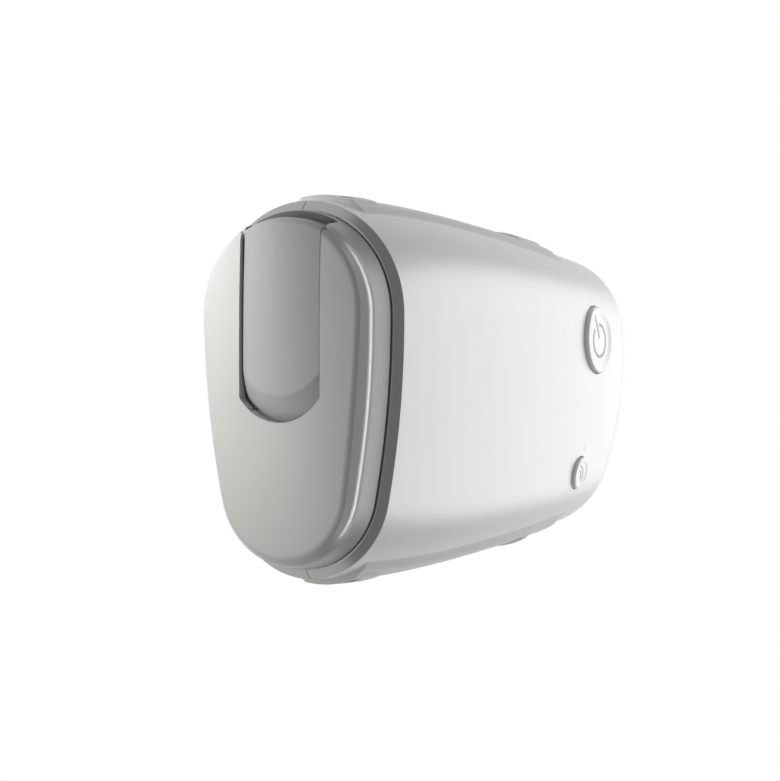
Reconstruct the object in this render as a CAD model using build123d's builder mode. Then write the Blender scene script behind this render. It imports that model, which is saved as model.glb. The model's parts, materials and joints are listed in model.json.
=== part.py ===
"""Travel CPAP machine: a tapering two-shell housing, a filter cap at the wide end and an air outlet
at the narrow end, with the blower, the control board and the buttons inside it.

Millimetres, +Z up. X runs along the machine, from the filter cap (-X) to the air outlet (+X).
The origin is on the table, under the middle of the machine.
"""

import os
from collections import namedtuple
from math import atan2, cos, degrees, radians, sin, sqrt

from build123d import *

os.makedirs("parts", exist_ok=True)

# ---------------------------------------------------------------- driving dimensions

Egg = namedtuple("Egg", "half_width fat_radius thin_radius side_radius")

cap_face_x = -68.0  # highest point of the filter cap's domed face
outlet_end_x = 68.0  # middle of the bowed outlet end
mouth_x = -56.4  # front edge of the shells, where the trim ring sits
axis_height = 27.35  # centre of the mouth above the table

# The housing is a loft through egg-shaped sections: x, y, z of each centre, then its egg.
mouth = Egg(40.9, 24.6, 20.6, 201.0)
housing_sections = [
    (mouth_x, 0.0, axis_height, mouth),
    (-28.0, 0.0, 26.5, Egg(40.3, 23.5, 19.9, 190.0)),
    (15.0, -0.15, 24.8, Egg(36.35, 21.2, 18.5, 170.0)),
    (45.0, -0.15, 23.2, Egg(32.65, 19.2, 17.0, 150.0)),
    (outlet_end_x, -0.05, 21.6, Egg(29.45, 17.0, 15.4, 140.0)),
]
outlet_bow_back, outlet_bow_front = 130.0, 62.0  # radii of the outlet end's bow in plan
outlet_bow_y = 8.0  # its apex lies towards the fat side of the egg
nose_radius = 11.0  # rounding round the outlet end

wall = 2.0
collar_length = 4.4  # thick rim at the mouth that the cap's skirt plugs into
collar_inset = 3.75
seam_gap = 0.2  # shadow line between the two shells

# Trim ring and filter cap, as insets from the mouth's egg and depths in front of the mouth.
ring_depth, ring_slope_inset, ring_inner_inset = 1.6, 1.75, 3.7
cap_groove_depth, cap_groove_inset = 0.5, 3.2
cap_wall_inset, cap_bevel_depth, cap_bevel_inset = 2.2, 8.1, 2.95
cap_bevel_slope = 0.74  # inset gained for each millimetre of depth
cap_dome_radius = 500.0
skirt_inset, skirt_length, skirt_thickness = 3.9, 4.0, 1.6
cap_hollow_depth, cap_hollow_taper = 9.0, 1.4
cap_face_rounding, cap_edge_rounding = 1.8, 3.4

# Channel in the cap, its sliding cover and the filter behind it.
channel_half_width = 10.32
channel_end_y = -7.0  # lowest point of its rounded end
channel_end_radius = 12.4
channel_floor_x = -64.8
channel_back_y = 32.0  # beyond this the channel deepens for the cover's tail
channel_tail_floor_x = -60.0
cover_gap = 0.4
cover_crown_radius = 60.0  # across the cover; along it, it follows the cap's dome
cover_drop = 0.1  # of its crown behind the cap's face
cover_plate_inner_x = -66.0
cover_rib = 1.1
cover_lip_height, cover_lip_width = 0.5, 0.9
lip_low_y, lip_high_y = 2.0, 33.0
tray_wall, tray_floor = 1.8, 1.4
scoop_radius, scoop_y, scoop_slope = 8.7, 7.7, 2.27
cover_hollow_low_y, cover_hollow_high_y, cover_slot_x = -3.5, 33.0, -64.2
cover_sill_x, cover_end_inset = -62.2, 5.6  # air is drawn in over the sill, under the end
filter_half_width, filter_low_y, filter_high_y = 8.2, -4.0, 29.6
filter_front_x, filter_back_x = -64.6, -61.6
intake_slots, intake_slot_pitch, intake_slot_width = 7, 4.4, 2.0

# Raised rails along the sides.
rail_proud, rail_low, rail_high = 0.8, -10.0, 12.0
rail_start_x, rail_end_x = -46.0, 41.0
pad_proud = 1.4
rail_pads = {"back": ((-45.0, -29.0), (33.4, 37.4)), "front": ((-45.0, -29.0), (29.4, 33.4))}
pad_low, pad_high = -5.0, 8.0
pocket_x, pocket_width, pocket_height = -39.5, 4.0, 3.0

# Buttons and light pipes on the top shell: x and y in plan.
start_button_place, start_radius = (43.5, 11.0), 8.0
connect_button_place, connect_radius = (37.7, -19.8), 4.0
start_light_place, connect_light_place, light_radius = (39.9, 20.9), (38.9, -14.0), 0.6
button_gap, button_proud, button_travel = 0.25, 0.6, 0.7
button_flange, button_stem_radius, stem_clearance = 0.8, 1.2, 0.45
button_rounding = 0.4
start_skirt, connect_skirt = 3.3, 2.85  # depth of each button's flange below the surface
start_switch_size, connect_switch_size = (6.0, 1.9, 1.7, 0.6), (3.0, 0.6, 0.8, 0.2)
light_pipe_length = 5.0

# Air outlet and power inlet in the narrow end.
outlet_y, outlet_z = 3.0, 21.9
outlet_bore_radius, outlet_port_radius, outlet_flange_radius = 7.5, 9.6, 11.0
outlet_inner_x, outlet_tip_x = 55.0, 66.6
flange_x, flange_thickness = 60.0, 1.4
jack_y, jack_z = -15.5, 17.6
jack_width, jack_height, jack_inner_x = 9.0, 10.0, 50.0
jack_bore_radius, jack_pin_radius, jack_opening_radius = 2.85, 1.0, 3.7
jack_pin_length = 7.0

# Blower: a scroll housing over its motor, on one upright axis.
blower_x, blower_y = -12.0, -3.0
motor_base_z, motor_top_z, motor_radius, motor_wall = 8.0, 20.0, 14.5, 1.2
scroll_floor_z, scroll_lid_z, scroll_wall = 20.0, 32.0, 1.5
scroll_split_z, scroll_outlet_x, eye_radius = 26.0, 20.0, 9.5
scroll_radius, scroll_growth = 18.4, 2.2  # the scroll gains this much radius each quarter turn
impeller_radius, impeller_hub_radius, impeller_blades = 15.6, 4.2, 9
impeller_floor_z, impeller_top_z, impeller_plate = 22.2, 29.6, 1.0
shaft_radius, bearing_radius = 1.0, 3.0
bearing_clearance, bearing_height = 0.04, 2.0
stator_radius, stator_ring, pole_radius, poles = 13.0, 2.2, 8.4, 6
stator_low_z, stator_high_z = 12.0, 17.4
magnet_radius = 7.8

# Air duct from the scroll to the outlet: x, y, z of each section, then its size and corner.
duct_wall = 1.4
duct_sections = [
    (8.0, 18.7, 26.0, (8.8, 9.0, 1.6)),
    (24.0, 14.0, 25.3, (10.4, 10.6, 3.6)),
    (40.0, 6.4, 22.8, (13.2, 13.2, 5.8)),
    (outlet_inner_x, outlet_y, outlet_z, (15.0, 15.0, 7.4)),
]

# Control board, parallel to the top shell above the outlet duct.
board_x, board_z, board_tilt = 33.5, 35.6, 6.4
board_length, board_width, board_thickness = 41.0, 42.0, 1.6
post_x, post_y, post_radius = 18.4, 18.6, 1.9

# On top of the board: name, x, y, length, width, height.
board_top_parts = [
    ("processor_chip", -3.0, -2.0, 8.0, 8.0, 1.1),
    ("radio_module", -13.0, -9.0, 10.0, 14.0, 1.9),
    ("power_module", -12.5, 8.0, 9.0, 9.0, 4.2),
]
sensor_place, sensor_height, sensor_tap = (6.0, 15.5), 3.2, 2.8
tube_radius, tube_bore = 1.0, 0.5
motor_plug_place, power_plug_place, plug_height = (-17.0, -6.0), (8.0, -12.5), 3.0
wire_radius, wire_pitch = 0.55, 1.8
motor_lead_start, motor_lead_bends = (2.4, -8.0, 15.0), [(10.0, -8.2, 16.0), (14.6, -8.2, 24.0)]
power_lead_start, power_lead_bends = (50.0, -15.4, 17.6), [(45.0, -14.4, 20.5)]

# Foam plug behind the filter cap.
muffler_start_x, muffler_length, muffler_inset = -51.5, 10.0, 4.6

foot_places = [(-40.0, 17.0), (-40.0, -17.0), (42.0, 13.0), (42.0, -13.0)]
foot_radius, foot_rounding = 5.0, 0.7
screw_places = [(-44.5, 29.5), (-44.5, -28.0), (22.0, 27.0), (22.0, -25.5)]
screw_radius, screw_head_radius, screw_shoulder_z, screw_tip_z = 1.3, 2.5, 11.0, 33.0
boss_radius = 3.4


# ---------------------------------------------------------------- shared shapes


def station(x, y=0.0, z=axis_height):
    """A plane across the machine at x: its local x is +Y and its local y is +Z."""
    return Plane(origin=(x, y, z), x_dir=(0, 1, 0), z_dir=(1, 0, 0))


def draw_egg(egg, inset=0.0):
    """Four tangent arcs: fat end towards +Y, thin end towards -Y, two long shallow sides."""
    width, fat, thin, side = (size - inset for size in egg)
    fat_y, thin_y = width - fat, thin - width
    span = fat_y - thin_y
    to_fat, to_thin = side - fat, side - thin
    along = (to_fat**2 - to_thin**2 + span**2) / (2 * span)
    side_y, side_z = fat_y - along, -sqrt(to_fat**2 - along**2)
    fat_join = (fat_y + (fat_y - side_y) / to_fat * fat, -side_z / to_fat * fat)
    thin_join = (thin_y + (thin_y - side_y) / to_thin * thin, -side_z / to_thin * thin)
    middle_y = (fat_join[0] + thin_join[0]) / 2
    middle = (middle_y, side_z + sqrt(side**2 - (middle_y - side_y) ** 2))
    ThreePointArc((fat_join[0], -fat_join[1]), (width, 0), fat_join)
    ThreePointArc(fat_join, middle, thin_join)
    ThreePointArc(thin_join, (-width, 0), (thin_join[0], -thin_join[1]))
    ThreePointArc((thin_join[0], -thin_join[1]), (middle_y, -middle[1]), (fat_join[0], -fat_join[1]))


def housing_tube(inset):
    """The tapering housing with a plain end, an inset smaller than the outside all round."""
    with BuildPart() as tube:
        for x, y, z, egg in housing_sections:
            with BuildSketch(station(x, y, z)):
                with BuildLine():
                    draw_egg(egg, inset)
                make_face()
        loft()
    return tube.part


def housing_form(inset):
    """The housing with its bowed and rounded outlet end."""
    end_x = outlet_end_x - inset
    tube = housing_tube(inset)
    with BuildPart() as form:
        with BuildSketch(Plane.XY.offset(-5)):
            with BuildLine():
                back = CenterArc((end_x - outlet_bow_back, outlet_bow_y), outlet_bow_back, 0, 18)
                front = CenterArc((end_x - outlet_bow_front, outlet_bow_y), outlet_bow_front, -60, 60)
                back_y, front_y = (back @ 1).Y, (front @ 0).Y
                Polyline(back @ 1, (mouth_x - 9, back_y), (mouth_x - 9, front_y), front @ 0)
            make_face()
        extrude(amount=70)
        add(tube, mode=Mode.INTERSECT)
        fillet(form.faces().sort_by(Axis.X)[-1].edges(), nose_radius - inset)
    return form.part


def egg_stage(near, near_inset, far, far_inset):
    """A tapered slice of the cap or ring, between two depths in front of the mouth."""
    with BuildPart() as stage:
        for depth, inset in ((near, near_inset), (far, far_inset)):
            with BuildSketch(station(mouth_x - depth)):
                with BuildLine():
                    draw_egg(mouth, inset)
                make_face()
        loft(ruled=True)
    return stage.part


end_section = housing_sections[-1]
parting_drop = degrees(atan2(axis_height - end_section[2], outlet_end_x - mouth_x))
parting = Plane(
    origin=(mouth_x, 0, axis_height),
    x_dir=(cos(radians(parting_drop)), 0, -sin(radians(parting_drop))),
    z_dir=(sin(radians(parting_drop)), 0, cos(radians(parting_drop))),
)

outside = housing_form(0.0)
inside = housing_form(wall)


def surface_plane(x, y):
    """A plane on the top shell's outside at x, y, facing straight out of it."""
    point, normal = max(
        outside.find_intersection_points(Axis((x, y, 0), (0, 0, 1))), key=lambda hit: hit[0].Z
    )
    out = normal if normal.Z > 0 else -normal
    return Plane(origin=point, x_dir=(out.Z, 0, -out.X), z_dir=out)


def finish(builder, name):
    """Labels a finished piece and writes its file."""
    builder.part.label = name
    export_step(builder.part, f"parts/{name}.step")


# ---------------------------------------------------------------- side rails


rail_core = housing_tube(rail_proud)
rail_skin = housing_tube(-rail_proud)
pad_skin = housing_tube(-pad_proud)
with BuildPart(parting) as rail_slab:
    rail_middle_x = (rail_start_x + rail_end_x) / 2 - mouth_x
    with Locations((rail_middle_x, 0, (rail_low + rail_high) / 2)):
        Box(rail_end_x - rail_start_x, 100, rail_high - rail_low)


def make_rail(side, sign):
    """One raised rail, with a wider pad at each end and a latch pocket in the pad at the mouth."""
    with BuildPart(parting) as pad_blocks:
        for low_x, high_x in rail_pads[side]:
            with Locations(((low_x + high_x) / 2 - mouth_x, sign * 40, (pad_low + pad_high) / 2)):
                Box(high_x - low_x, 40, pad_high - pad_low)
    with BuildPart() as pads:
        add(pad_blocks.part)
        add(pad_skin, mode=Mode.INTERSECT)
    with BuildPart() as rail:
        add(rail_slab.part)
        add(rail_skin, mode=Mode.INTERSECT)
        split(bisect_by=Plane.XZ, keep=Keep.BOTTOM if sign > 0 else Keep.TOP)
        add(pads.part)
        add(rail_core, mode=Mode.SUBTRACT)
        with BuildSketch(Plane.XZ.offset(-sign * 60)):
            with Locations((pocket_x, axis_height + 1.5)):
                Rectangle(pocket_width, pocket_height)
        extrude(amount=sign * 18.6, mode=Mode.SUBTRACT)
    return rail


for side, sign in (("back", 1), ("front", -1)):
    finish(make_rail(side, sign), f"side_rail_{side}")


# ---------------------------------------------------------------- shells


start_plane = surface_plane(*start_button_place)
connect_plane = surface_plane(*connect_button_place)
start_light_plane = surface_plane(*start_light_place)
connect_light_plane = surface_plane(*connect_light_place)
board_plane = Plane(
    origin=(board_x, 0, board_z),
    x_dir=(cos(radians(board_tilt)), 0, -sin(radians(board_tilt))),
    z_dir=(sin(radians(board_tilt)), 0, cos(radians(board_tilt))),
)
board_posts = [(x, y) for x in (-post_x, post_x) for y in (-post_y, post_y)]

with BuildPart() as hollow:
    add(inside)
    split(bisect_by=station(mouth_x + collar_length), keep=Keep.TOP)
    with BuildSketch(station(mouth_x - 1)):
        with BuildLine():
            draw_egg(mouth, collar_inset)
        make_face()
    extrude(amount=collar_length + 1.5)

with BuildPart() as rail_seat:
    add(rail_slab.part)
    add(rail_core, mode=Mode.SUBTRACT)

with BuildPart() as housing:
    add(outside)
    add(hollow.part, mode=Mode.SUBTRACT)
    add(rail_seat.part, mode=Mode.SUBTRACT)
    with BuildSketch(station(outlet_end_x + 1, outlet_y, outlet_z)):
        Circle(outlet_port_radius + 0.1)
    extrude(amount=-10, mode=Mode.SUBTRACT)
    with BuildSketch(station(outlet_end_x + 1, jack_y, jack_z)):
        Circle(jack_opening_radius)
    extrude(amount=-12, mode=Mode.SUBTRACT)

with BuildPart() as boss_columns:
    for x, y in screw_places:
        with BuildSketch(Plane.XY):
            with Locations((x, y)):
                Circle(boss_radius)
        extrude(amount=52)
    add(hollow.part, mode=Mode.INTERSECT)

with BuildPart() as top_shell:
    add(housing.part)
    add(boss_columns.part)
    split(bisect_by=parting.offset(seam_gap / 2), keep=Keep.TOP)
    with BuildSketch(board_plane):
        with Locations(board_posts):
            Circle(post_radius)
    extrude(until=Until.NEXT, target=housing.part)
    for plane, radius in ((start_plane, start_radius), (connect_plane, connect_radius)):
        with BuildSketch(plane.offset(2)):
            Circle(radius)
        extrude(amount=-8, mode=Mode.SUBTRACT)
    for plane in (start_light_plane, connect_light_plane):
        with BuildSketch(plane.offset(1)):
            Circle(light_radius)
        extrude(amount=-5, mode=Mode.SUBTRACT)
    for x, y in screw_places:
        with BuildSketch(Plane.XY.offset(10)):
            with Locations((x, y)):
                Circle(screw_radius)
        extrude(amount=screw_tip_z - 9, mode=Mode.SUBTRACT)
    with BuildSketch(board_plane.offset(-1)):
        with Locations(board_posts):
            Circle(0.8)
    extrude(amount=5, mode=Mode.SUBTRACT)
finish(top_shell, "top_shell")

with BuildPart() as feet:
    with BuildSketch(Plane.XY):
        with Locations(foot_places):
            Circle(foot_radius)
    extrude(amount=14)
    fillet(feet.edges().group_by(Axis.Z)[0], foot_rounding)
    add(rail_core, mode=Mode.SUBTRACT)
finish(feet, "feet")

with BuildPart() as base_shell:
    add(housing.part)
    add(boss_columns.part)
    split(bisect_by=parting.offset(-seam_gap / 2), keep=Keep.BOTTOM)
    for x, y in screw_places:
        with BuildSketch(Plane.XY.offset(-1)):
            with Locations((x, y)):
                Circle(screw_radius + 0.2)
        extrude(amount=30, mode=Mode.SUBTRACT)
        with BuildSketch(Plane.XY.offset(-1)):
            with Locations((x, y)):
                Circle(screw_head_radius + 0.2)
        extrude(amount=screw_shoulder_z + 1, mode=Mode.SUBTRACT)
    add(feet.part, mode=Mode.SUBTRACT)
finish(base_shell, "base_shell")

with BuildPart() as case_screws:
    with BuildSketch(Plane.XY.offset(screw_shoulder_z)):
        with Locations(screw_places):
            Circle(screw_radius)
    extrude(amount=screw_tip_z - 1 - screw_shoulder_z)
    with BuildSketch(Plane.XY.offset(screw_shoulder_z)):
        with Locations(screw_places):
            Circle(screw_head_radius)
    extrude(amount=-1.6)
    with BuildSketch(Plane.XY.offset(screw_shoulder_z - 1.6)):
        with Locations(screw_places):
            RegularPolygon(1.1, 6)
    extrude(amount=0.9, mode=Mode.SUBTRACT)
finish(case_screws, "case_screws")


# ---------------------------------------------------------------- trim ring


ring_solid = egg_stage(0, 0, ring_depth, ring_slope_inset)
for name, keep, side in (("ring_upper", Keep.TOP, 1), ("ring_lower", Keep.BOTTOM, -1)):
    with BuildPart() as ring_half:
        add(ring_solid)
        with BuildSketch(station(mouth_x)):
            with BuildLine():
                draw_egg(mouth, ring_inner_inset)
            make_face()
        extrude(amount=-ring_depth, mode=Mode.SUBTRACT)
        split(bisect_by=parting.offset(side * seam_gap), keep=keep)
    finish(ring_half, name)


# ---------------------------------------------------------------- filter cap


cap_depth = mouth_x - cap_face_x
cap_wall_start = ring_depth + cap_groove_depth
bevel_end_inset = cap_bevel_inset + (cap_depth - cap_bevel_depth) * cap_bevel_slope

with BuildPart() as cap_dome:
    with Locations((cap_face_x + cap_dome_radius, 0, axis_height)):
        Sphere(cap_dome_radius)

with BuildPart() as cap_outside:
    add(egg_stage(cap_wall_start, cap_wall_inset, cap_bevel_depth, cap_bevel_inset))
    add(egg_stage(cap_bevel_depth, cap_bevel_inset, cap_depth, bevel_end_inset))
    add(cap_dome.part, mode=Mode.INTERSECT)
    face_edges = cap_outside.edges().filter_by_position(Axis.X, cap_face_x, cap_face_x + 1.8)
    fillet(face_edges, cap_face_rounding)
    bevel_x = mouth_x - cap_bevel_depth
    bevel_edges = cap_outside.edges().filter_by_position(Axis.X, bevel_x - 0.01, bevel_x + 0.01)
    fillet(bevel_edges, cap_edge_rounding)

hollow_inset = skirt_inset + skirt_thickness
with BuildPart() as cap_hollow:
    add(egg_stage(-skirt_length - 1, hollow_inset, cap_bevel_depth - 1, hollow_inset))
    add(
        egg_stage(
            cap_bevel_depth - 1, hollow_inset, cap_hollow_depth, hollow_inset + cap_hollow_taper
        )
    )


def draw_channel(half_width, end_radius):
    """Outline across the channel: a rounded end towards -Y and open ahead towards +Y."""
    centre_y = channel_end_y + channel_end_radius
    corner_y = centre_y - sqrt(end_radius**2 - half_width**2)
    left, right = (corner_y, -half_width), (corner_y, half_width)
    Polyline(right, (60, half_width), (60, -half_width), left)
    ThreePointArc(left, (centre_y - end_radius, 0), right)


with BuildPart() as channel:
    with BuildSketch(station(channel_floor_x)):
        with BuildLine():
            draw_channel(channel_half_width, channel_end_radius)
        make_face()
    extrude(amount=-10)
    with BuildSketch(station(channel_tail_floor_x)):
        with Locations((channel_back_y + 15, 0)):
            Rectangle(30, 2 * channel_half_width)
    extrude(amount=-10)
    with BuildSketch(station(channel_floor_x)):
        with Locations((lip_low_y - 1 + 30, 0)):
            Rectangle(60, 2 * (channel_half_width + cover_lip_width))
    extrude(amount=-(cover_lip_height + 0.45))

with BuildPart() as end_cap:
    add(cap_outside.part)
    add(cap_hollow.part, mode=Mode.SUBTRACT)
    with BuildSketch(station(filter_back_x + tray_floor)):
        with Locations((20 + (channel_end_y - tray_wall) / 2, 0)):
            Rectangle(40 - channel_end_y + tray_wall, 2 * (channel_half_width + tray_wall))
    extrude(amount=-4)
    with BuildSketch(station(channel_tail_floor_x + tray_floor)):
        with Locations((channel_back_y + 5, 0)):
            Rectangle(10 + 2 * tray_floor, 2 * (channel_half_width + tray_wall))
    extrude(amount=-5)
    add(cap_outside.part, mode=Mode.INTERSECT)
    add(egg_stage(ring_depth, cap_groove_inset, cap_wall_start, cap_groove_inset))
    add(egg_stage(-skirt_length, skirt_inset, ring_depth, skirt_inset))
    with BuildSketch(station(mouth_x + skirt_length + 1)):
        with BuildLine():
            draw_egg(mouth, hollow_inset)
        make_face()
    extrude(amount=-(skirt_length + 1 + cap_wall_start), mode=Mode.SUBTRACT)
    add(channel.part, mode=Mode.SUBTRACT)
    filter_middle_y = (filter_low_y + filter_high_y) / 2
    with BuildSketch(station(filter_back_x)):
        with Locations((filter_middle_y, 0)):
            Rectangle(filter_high_y - filter_low_y + 0.4, 2 * filter_half_width + 0.4)
    extrude(amount=-6, mode=Mode.SUBTRACT)
    with BuildSketch(station(filter_back_x + tray_floor + 1)):
        with Locations((filter_middle_y, 0)):
            with GridLocations(intake_slot_pitch, 0, intake_slots, 1):
                SlotOverall(2 * filter_half_width - 3, intake_slot_width, rotation=90)
    extrude(amount=-tray_floor - 2, mode=Mode.SUBTRACT)
finish(end_cap, "end_cap")

with BuildPart() as filter_pad:
    with BuildSketch(station(filter_back_x)):
        with Locations((filter_middle_y, 0)):
            RectangleRounded(filter_high_y - filter_low_y, 2 * filter_half_width, 1.5)
    extrude(amount=filter_front_x - filter_back_x)
finish(filter_pad, "filter_pad")


# ---------------------------------------------------------------- sliding filter cover


with BuildPart() as cover_crown:
    with Locations((cap_face_x + cover_drop + cap_dome_radius, 0, axis_height)):
        Torus(cap_dome_radius - cover_crown_radius, cover_crown_radius)

with BuildPart() as cover_end:
    with BuildSketch(station(cover_sill_x)):
        with Locations((40, 0)):
            Rectangle(40, 40)
    extrude(amount=-10)
    add(
        egg_stage(cap_bevel_depth - 4, cover_end_inset, cap_depth + 4, cover_end_inset),
        mode=Mode.SUBTRACT,
    )

with BuildPart() as thumb_scoop:
    scoop_depth = 6.0
    with BuildSketch(station(cap_face_x, scoop_y)):
        Circle(scoop_radius)
    with BuildSketch(station(cap_face_x + scoop_depth, scoop_y)):
        Circle(scoop_radius + scoop_depth * scoop_slope)
    loft()
    with BuildSketch(station(cap_face_x)):
        with Locations((scoop_y + 20, 0)):
            Rectangle(40, 40)
    extrude(amount=10)

cover_half_width = channel_half_width - cover_gap
cover_foot_x = channel_floor_x - 0.2
cover_tail_y, cover_tail_foot_x = channel_back_y + 0.4, channel_tail_floor_x - 0.3
with BuildPart() as filter_cover:
    with BuildSketch(station(cover_foot_x)):
        with BuildLine():
            draw_channel(cover_half_width, channel_end_radius - cover_gap)
        make_face()
    extrude(amount=-5)
    with BuildSketch(station(cover_tail_foot_x)):
        with Locations((cover_tail_y + 10, 0)):
            Rectangle(20, 2 * cover_half_width)
    extrude(amount=-6)
    add(cap_outside.part, mode=Mode.INTERSECT)
    add(cover_crown.part, mode=Mode.INTERSECT)
    add(thumb_scoop.part, mode=Mode.INTERSECT)
    add(cover_end.part, mode=Mode.SUBTRACT)
    with BuildSketch(station(cover_tail_foot_x + 1)):
        with Locations(((cover_hollow_low_y + cover_hollow_high_y) / 2, 0)):
            Rectangle(cover_hollow_high_y - cover_hollow_low_y, 2 * (cover_half_width - cover_rib))
    extrude(amount=cover_plate_inner_x - cover_tail_foot_x - 1, mode=Mode.SUBTRACT)
    with BuildSketch(station(cover_foot_x)):
        with Locations(((lip_low_y + lip_high_y) / 2, cover_half_width)):
            Rectangle(lip_high_y - lip_low_y, 2 * cover_lip_width)
        with Locations(((lip_low_y + lip_high_y) / 2, -cover_half_width)):
            Rectangle(lip_high_y - lip_low_y, 2 * cover_lip_width)
    extrude(amount=-cover_lip_height)
    with BuildSketch(Plane.XZ.offset(-60)):
        with Locations((cover_slot_x, axis_height)):
            with GridLocations(0, 6, 1, 3):
                SlotOverall(4.6, 1.4, rotation=90)
    extrude(amount=60 - cover_hollow_high_y + 1, mode=Mode.SUBTRACT)
finish(filter_cover, "filter_cover")


# ---------------------------------------------------------------- buttons and light pipes


def board_spot(plane):
    """Where the axis of a button or light meets the board, and how far down that is."""
    away = plane.origin - board_plane.origin
    drop = away.dot(board_plane.z_dir) / plane.z_dir.dot(board_plane.z_dir)
    spot = board_plane.to_local_coords(plane.origin - plane.z_dir * drop)
    return spot.X, spot.Y, drop


def make_button(plane, radius, skirt, switch_size):
    """A round button with a retaining flange under the shell and a stem over its switch."""
    switch_height = switch_size[1] + switch_size[3]
    stem_depth = board_spot(plane)[2] - switch_height - button_travel - stem_clearance
    with BuildPart() as button:
        with BuildSketch(plane.offset(2)):
            Circle(radius - button_gap)
        extrude(amount=-2 - skirt)
        add(outside.moved(Location(plane.z_dir * button_proud)), mode=Mode.INTERSECT)
        fillet(button.faces().sort_by(Axis.Z)[-1].edges(), button_rounding)
        with BuildSketch(plane.offset(-skirt)):
            Circle(radius - button_gap + button_flange)
        extrude(amount=-button_flange)
        with BuildSketch(plane.offset(-skirt)):
            Circle(button_stem_radius)
        extrude(amount=skirt - stem_depth)
    return button


def make_switch(plane, switch_size):
    """A square push switch on the board, under a button."""
    side, height, plunger_radius, plunger_height = switch_size
    spot_x, spot_y, drop = board_spot(plane)
    with BuildPart() as switch:
        with BuildSketch(board_plane):
            with Locations((spot_x, spot_y)):
                RectangleRounded(side, side, 0.4)
        extrude(amount=height)
        with BuildSketch(board_plane.offset(height)):
            with Locations((spot_x, spot_y)):
                Circle(plunger_radius)
        extrude(amount=plunger_height)
    return switch


start_parts = (start_plane, start_radius, start_skirt, start_switch_size)
connect_parts = (connect_plane, connect_radius, connect_skirt, connect_switch_size)
for name, parts in (("start", start_parts), ("connect", connect_parts)):
    finish(make_button(*parts), f"{name}_button")
    finish(make_switch(parts[0], parts[3]), f"{name}_switch")

for name, plane in (("start", start_light_plane), ("connect", connect_light_plane)):
    with BuildPart() as light_pipe:
        with BuildSketch(plane.offset(-light_pipe_length)):
            Circle(light_radius)
        extrude(amount=light_pipe_length + 1)
        add(outside, mode=Mode.INTERSECT)
    finish(light_pipe, f"{name}_light_pipe")


# ---------------------------------------------------------------- air outlet and power inlet


with BuildPart() as outlet_port:
    with BuildSketch(station(outlet_inner_x, outlet_y, outlet_z)):
        Circle(outlet_port_radius)
    extrude(amount=outlet_tip_x - outlet_inner_x)
    with BuildSketch(station(flange_x, outlet_y, outlet_z)):
        Circle(outlet_flange_radius)
    extrude(amount=flange_thickness)
    fillet(outlet_port.edges().group_by(Axis.X)[-1], 0.5)
    with BuildSketch(station(outlet_inner_x, outlet_y, outlet_z)):
        Circle(outlet_bore_radius)
    extrude(amount=outlet_tip_x - outlet_inner_x + 1, mode=Mode.SUBTRACT)
finish(outlet_port, "outlet_port")

with BuildPart() as outlet_seal:
    with BuildSketch(station(flange_x + flange_thickness, outlet_y, outlet_z)):
        Circle(outlet_flange_radius)
        Circle(outlet_port_radius, mode=Mode.SUBTRACT)
    extrude(amount=4)
    add(inside, mode=Mode.INTERSECT)
finish(outlet_seal, "outlet_seal")

with BuildPart() as power_jack:
    with BuildSketch(station(jack_inner_x, jack_y, jack_z)):
        RectangleRounded(jack_width, jack_height, 1.0)
    extrude(amount=14)
    add(inside, mode=Mode.INTERSECT)
    with BuildSketch(station(jack_inner_x + 1.5, jack_y, jack_z)):
        Circle(jack_bore_radius)
    extrude(amount=14, mode=Mode.SUBTRACT)
finish(power_jack, "power_jack")

with BuildPart() as power_pin:
    with BuildSketch(station(jack_inner_x + 1.5, jack_y, jack_z)):
        Circle(jack_pin_radius)
    extrude(amount=jack_pin_length)
    fillet(power_pin.edges().group_by(Axis.X)[-1], 0.4)
finish(power_pin, "power_pin")


# ---------------------------------------------------------------- blower


def blower_level(z):
    """A level plane on the blower's axis."""
    return Plane(origin=(blower_x, blower_y, z))


bearing_seat_radius = bearing_radius + 1.4
can_floor_z = motor_base_z + motor_wall
lower_bearing_z, upper_bearing_z = can_floor_z + 0.4, scroll_floor_z - 1.0

with BuildPart() as isolator_ring:
    with BuildSketch(blower_level(0)):
        Circle(motor_radius - 0.3)
        Circle(motor_radius - 3.6, mode=Mode.SUBTRACT)
    extrude(amount=motor_base_z)
    add(inside, mode=Mode.INTERSECT)
finish(isolator_ring, "isolator_ring")

with BuildPart() as motor_housing:
    with BuildSketch(blower_level(motor_base_z)):
        Circle(motor_radius)
    extrude(amount=motor_top_z - motor_base_z)
    fillet(motor_housing.edges().group_by(Axis.Z)[0], 0.8)
    with BuildSketch(blower_level(can_floor_z)):
        Circle(motor_radius - motor_wall)
        Circle(bearing_seat_radius, mode=Mode.SUBTRACT)
    extrude(amount=20, mode=Mode.SUBTRACT)
    with BuildSketch(blower_level(can_floor_z + bearing_height)):
        Circle(bearing_seat_radius)
    extrude(amount=20, mode=Mode.SUBTRACT)
    with BuildSketch(blower_level(lower_bearing_z)):
        Circle(bearing_radius)
    extrude(amount=20, mode=Mode.SUBTRACT)
    with BuildSketch(blower_level(can_floor_z - 0.2)):
        Circle(shaft_radius + 0.3)
    extrude(amount=2, mode=Mode.SUBTRACT)
finish(motor_housing, "motor_housing")

for name, z in (("lower", lower_bearing_z), ("upper", upper_bearing_z)):
    with BuildPart() as bearing:
        with BuildSketch(blower_level(z)):
            Circle(bearing_radius)
            Circle(shaft_radius + bearing_clearance, mode=Mode.SUBTRACT)
        extrude(amount=bearing_height)
    finish(bearing, f"{name}_bearing")

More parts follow.
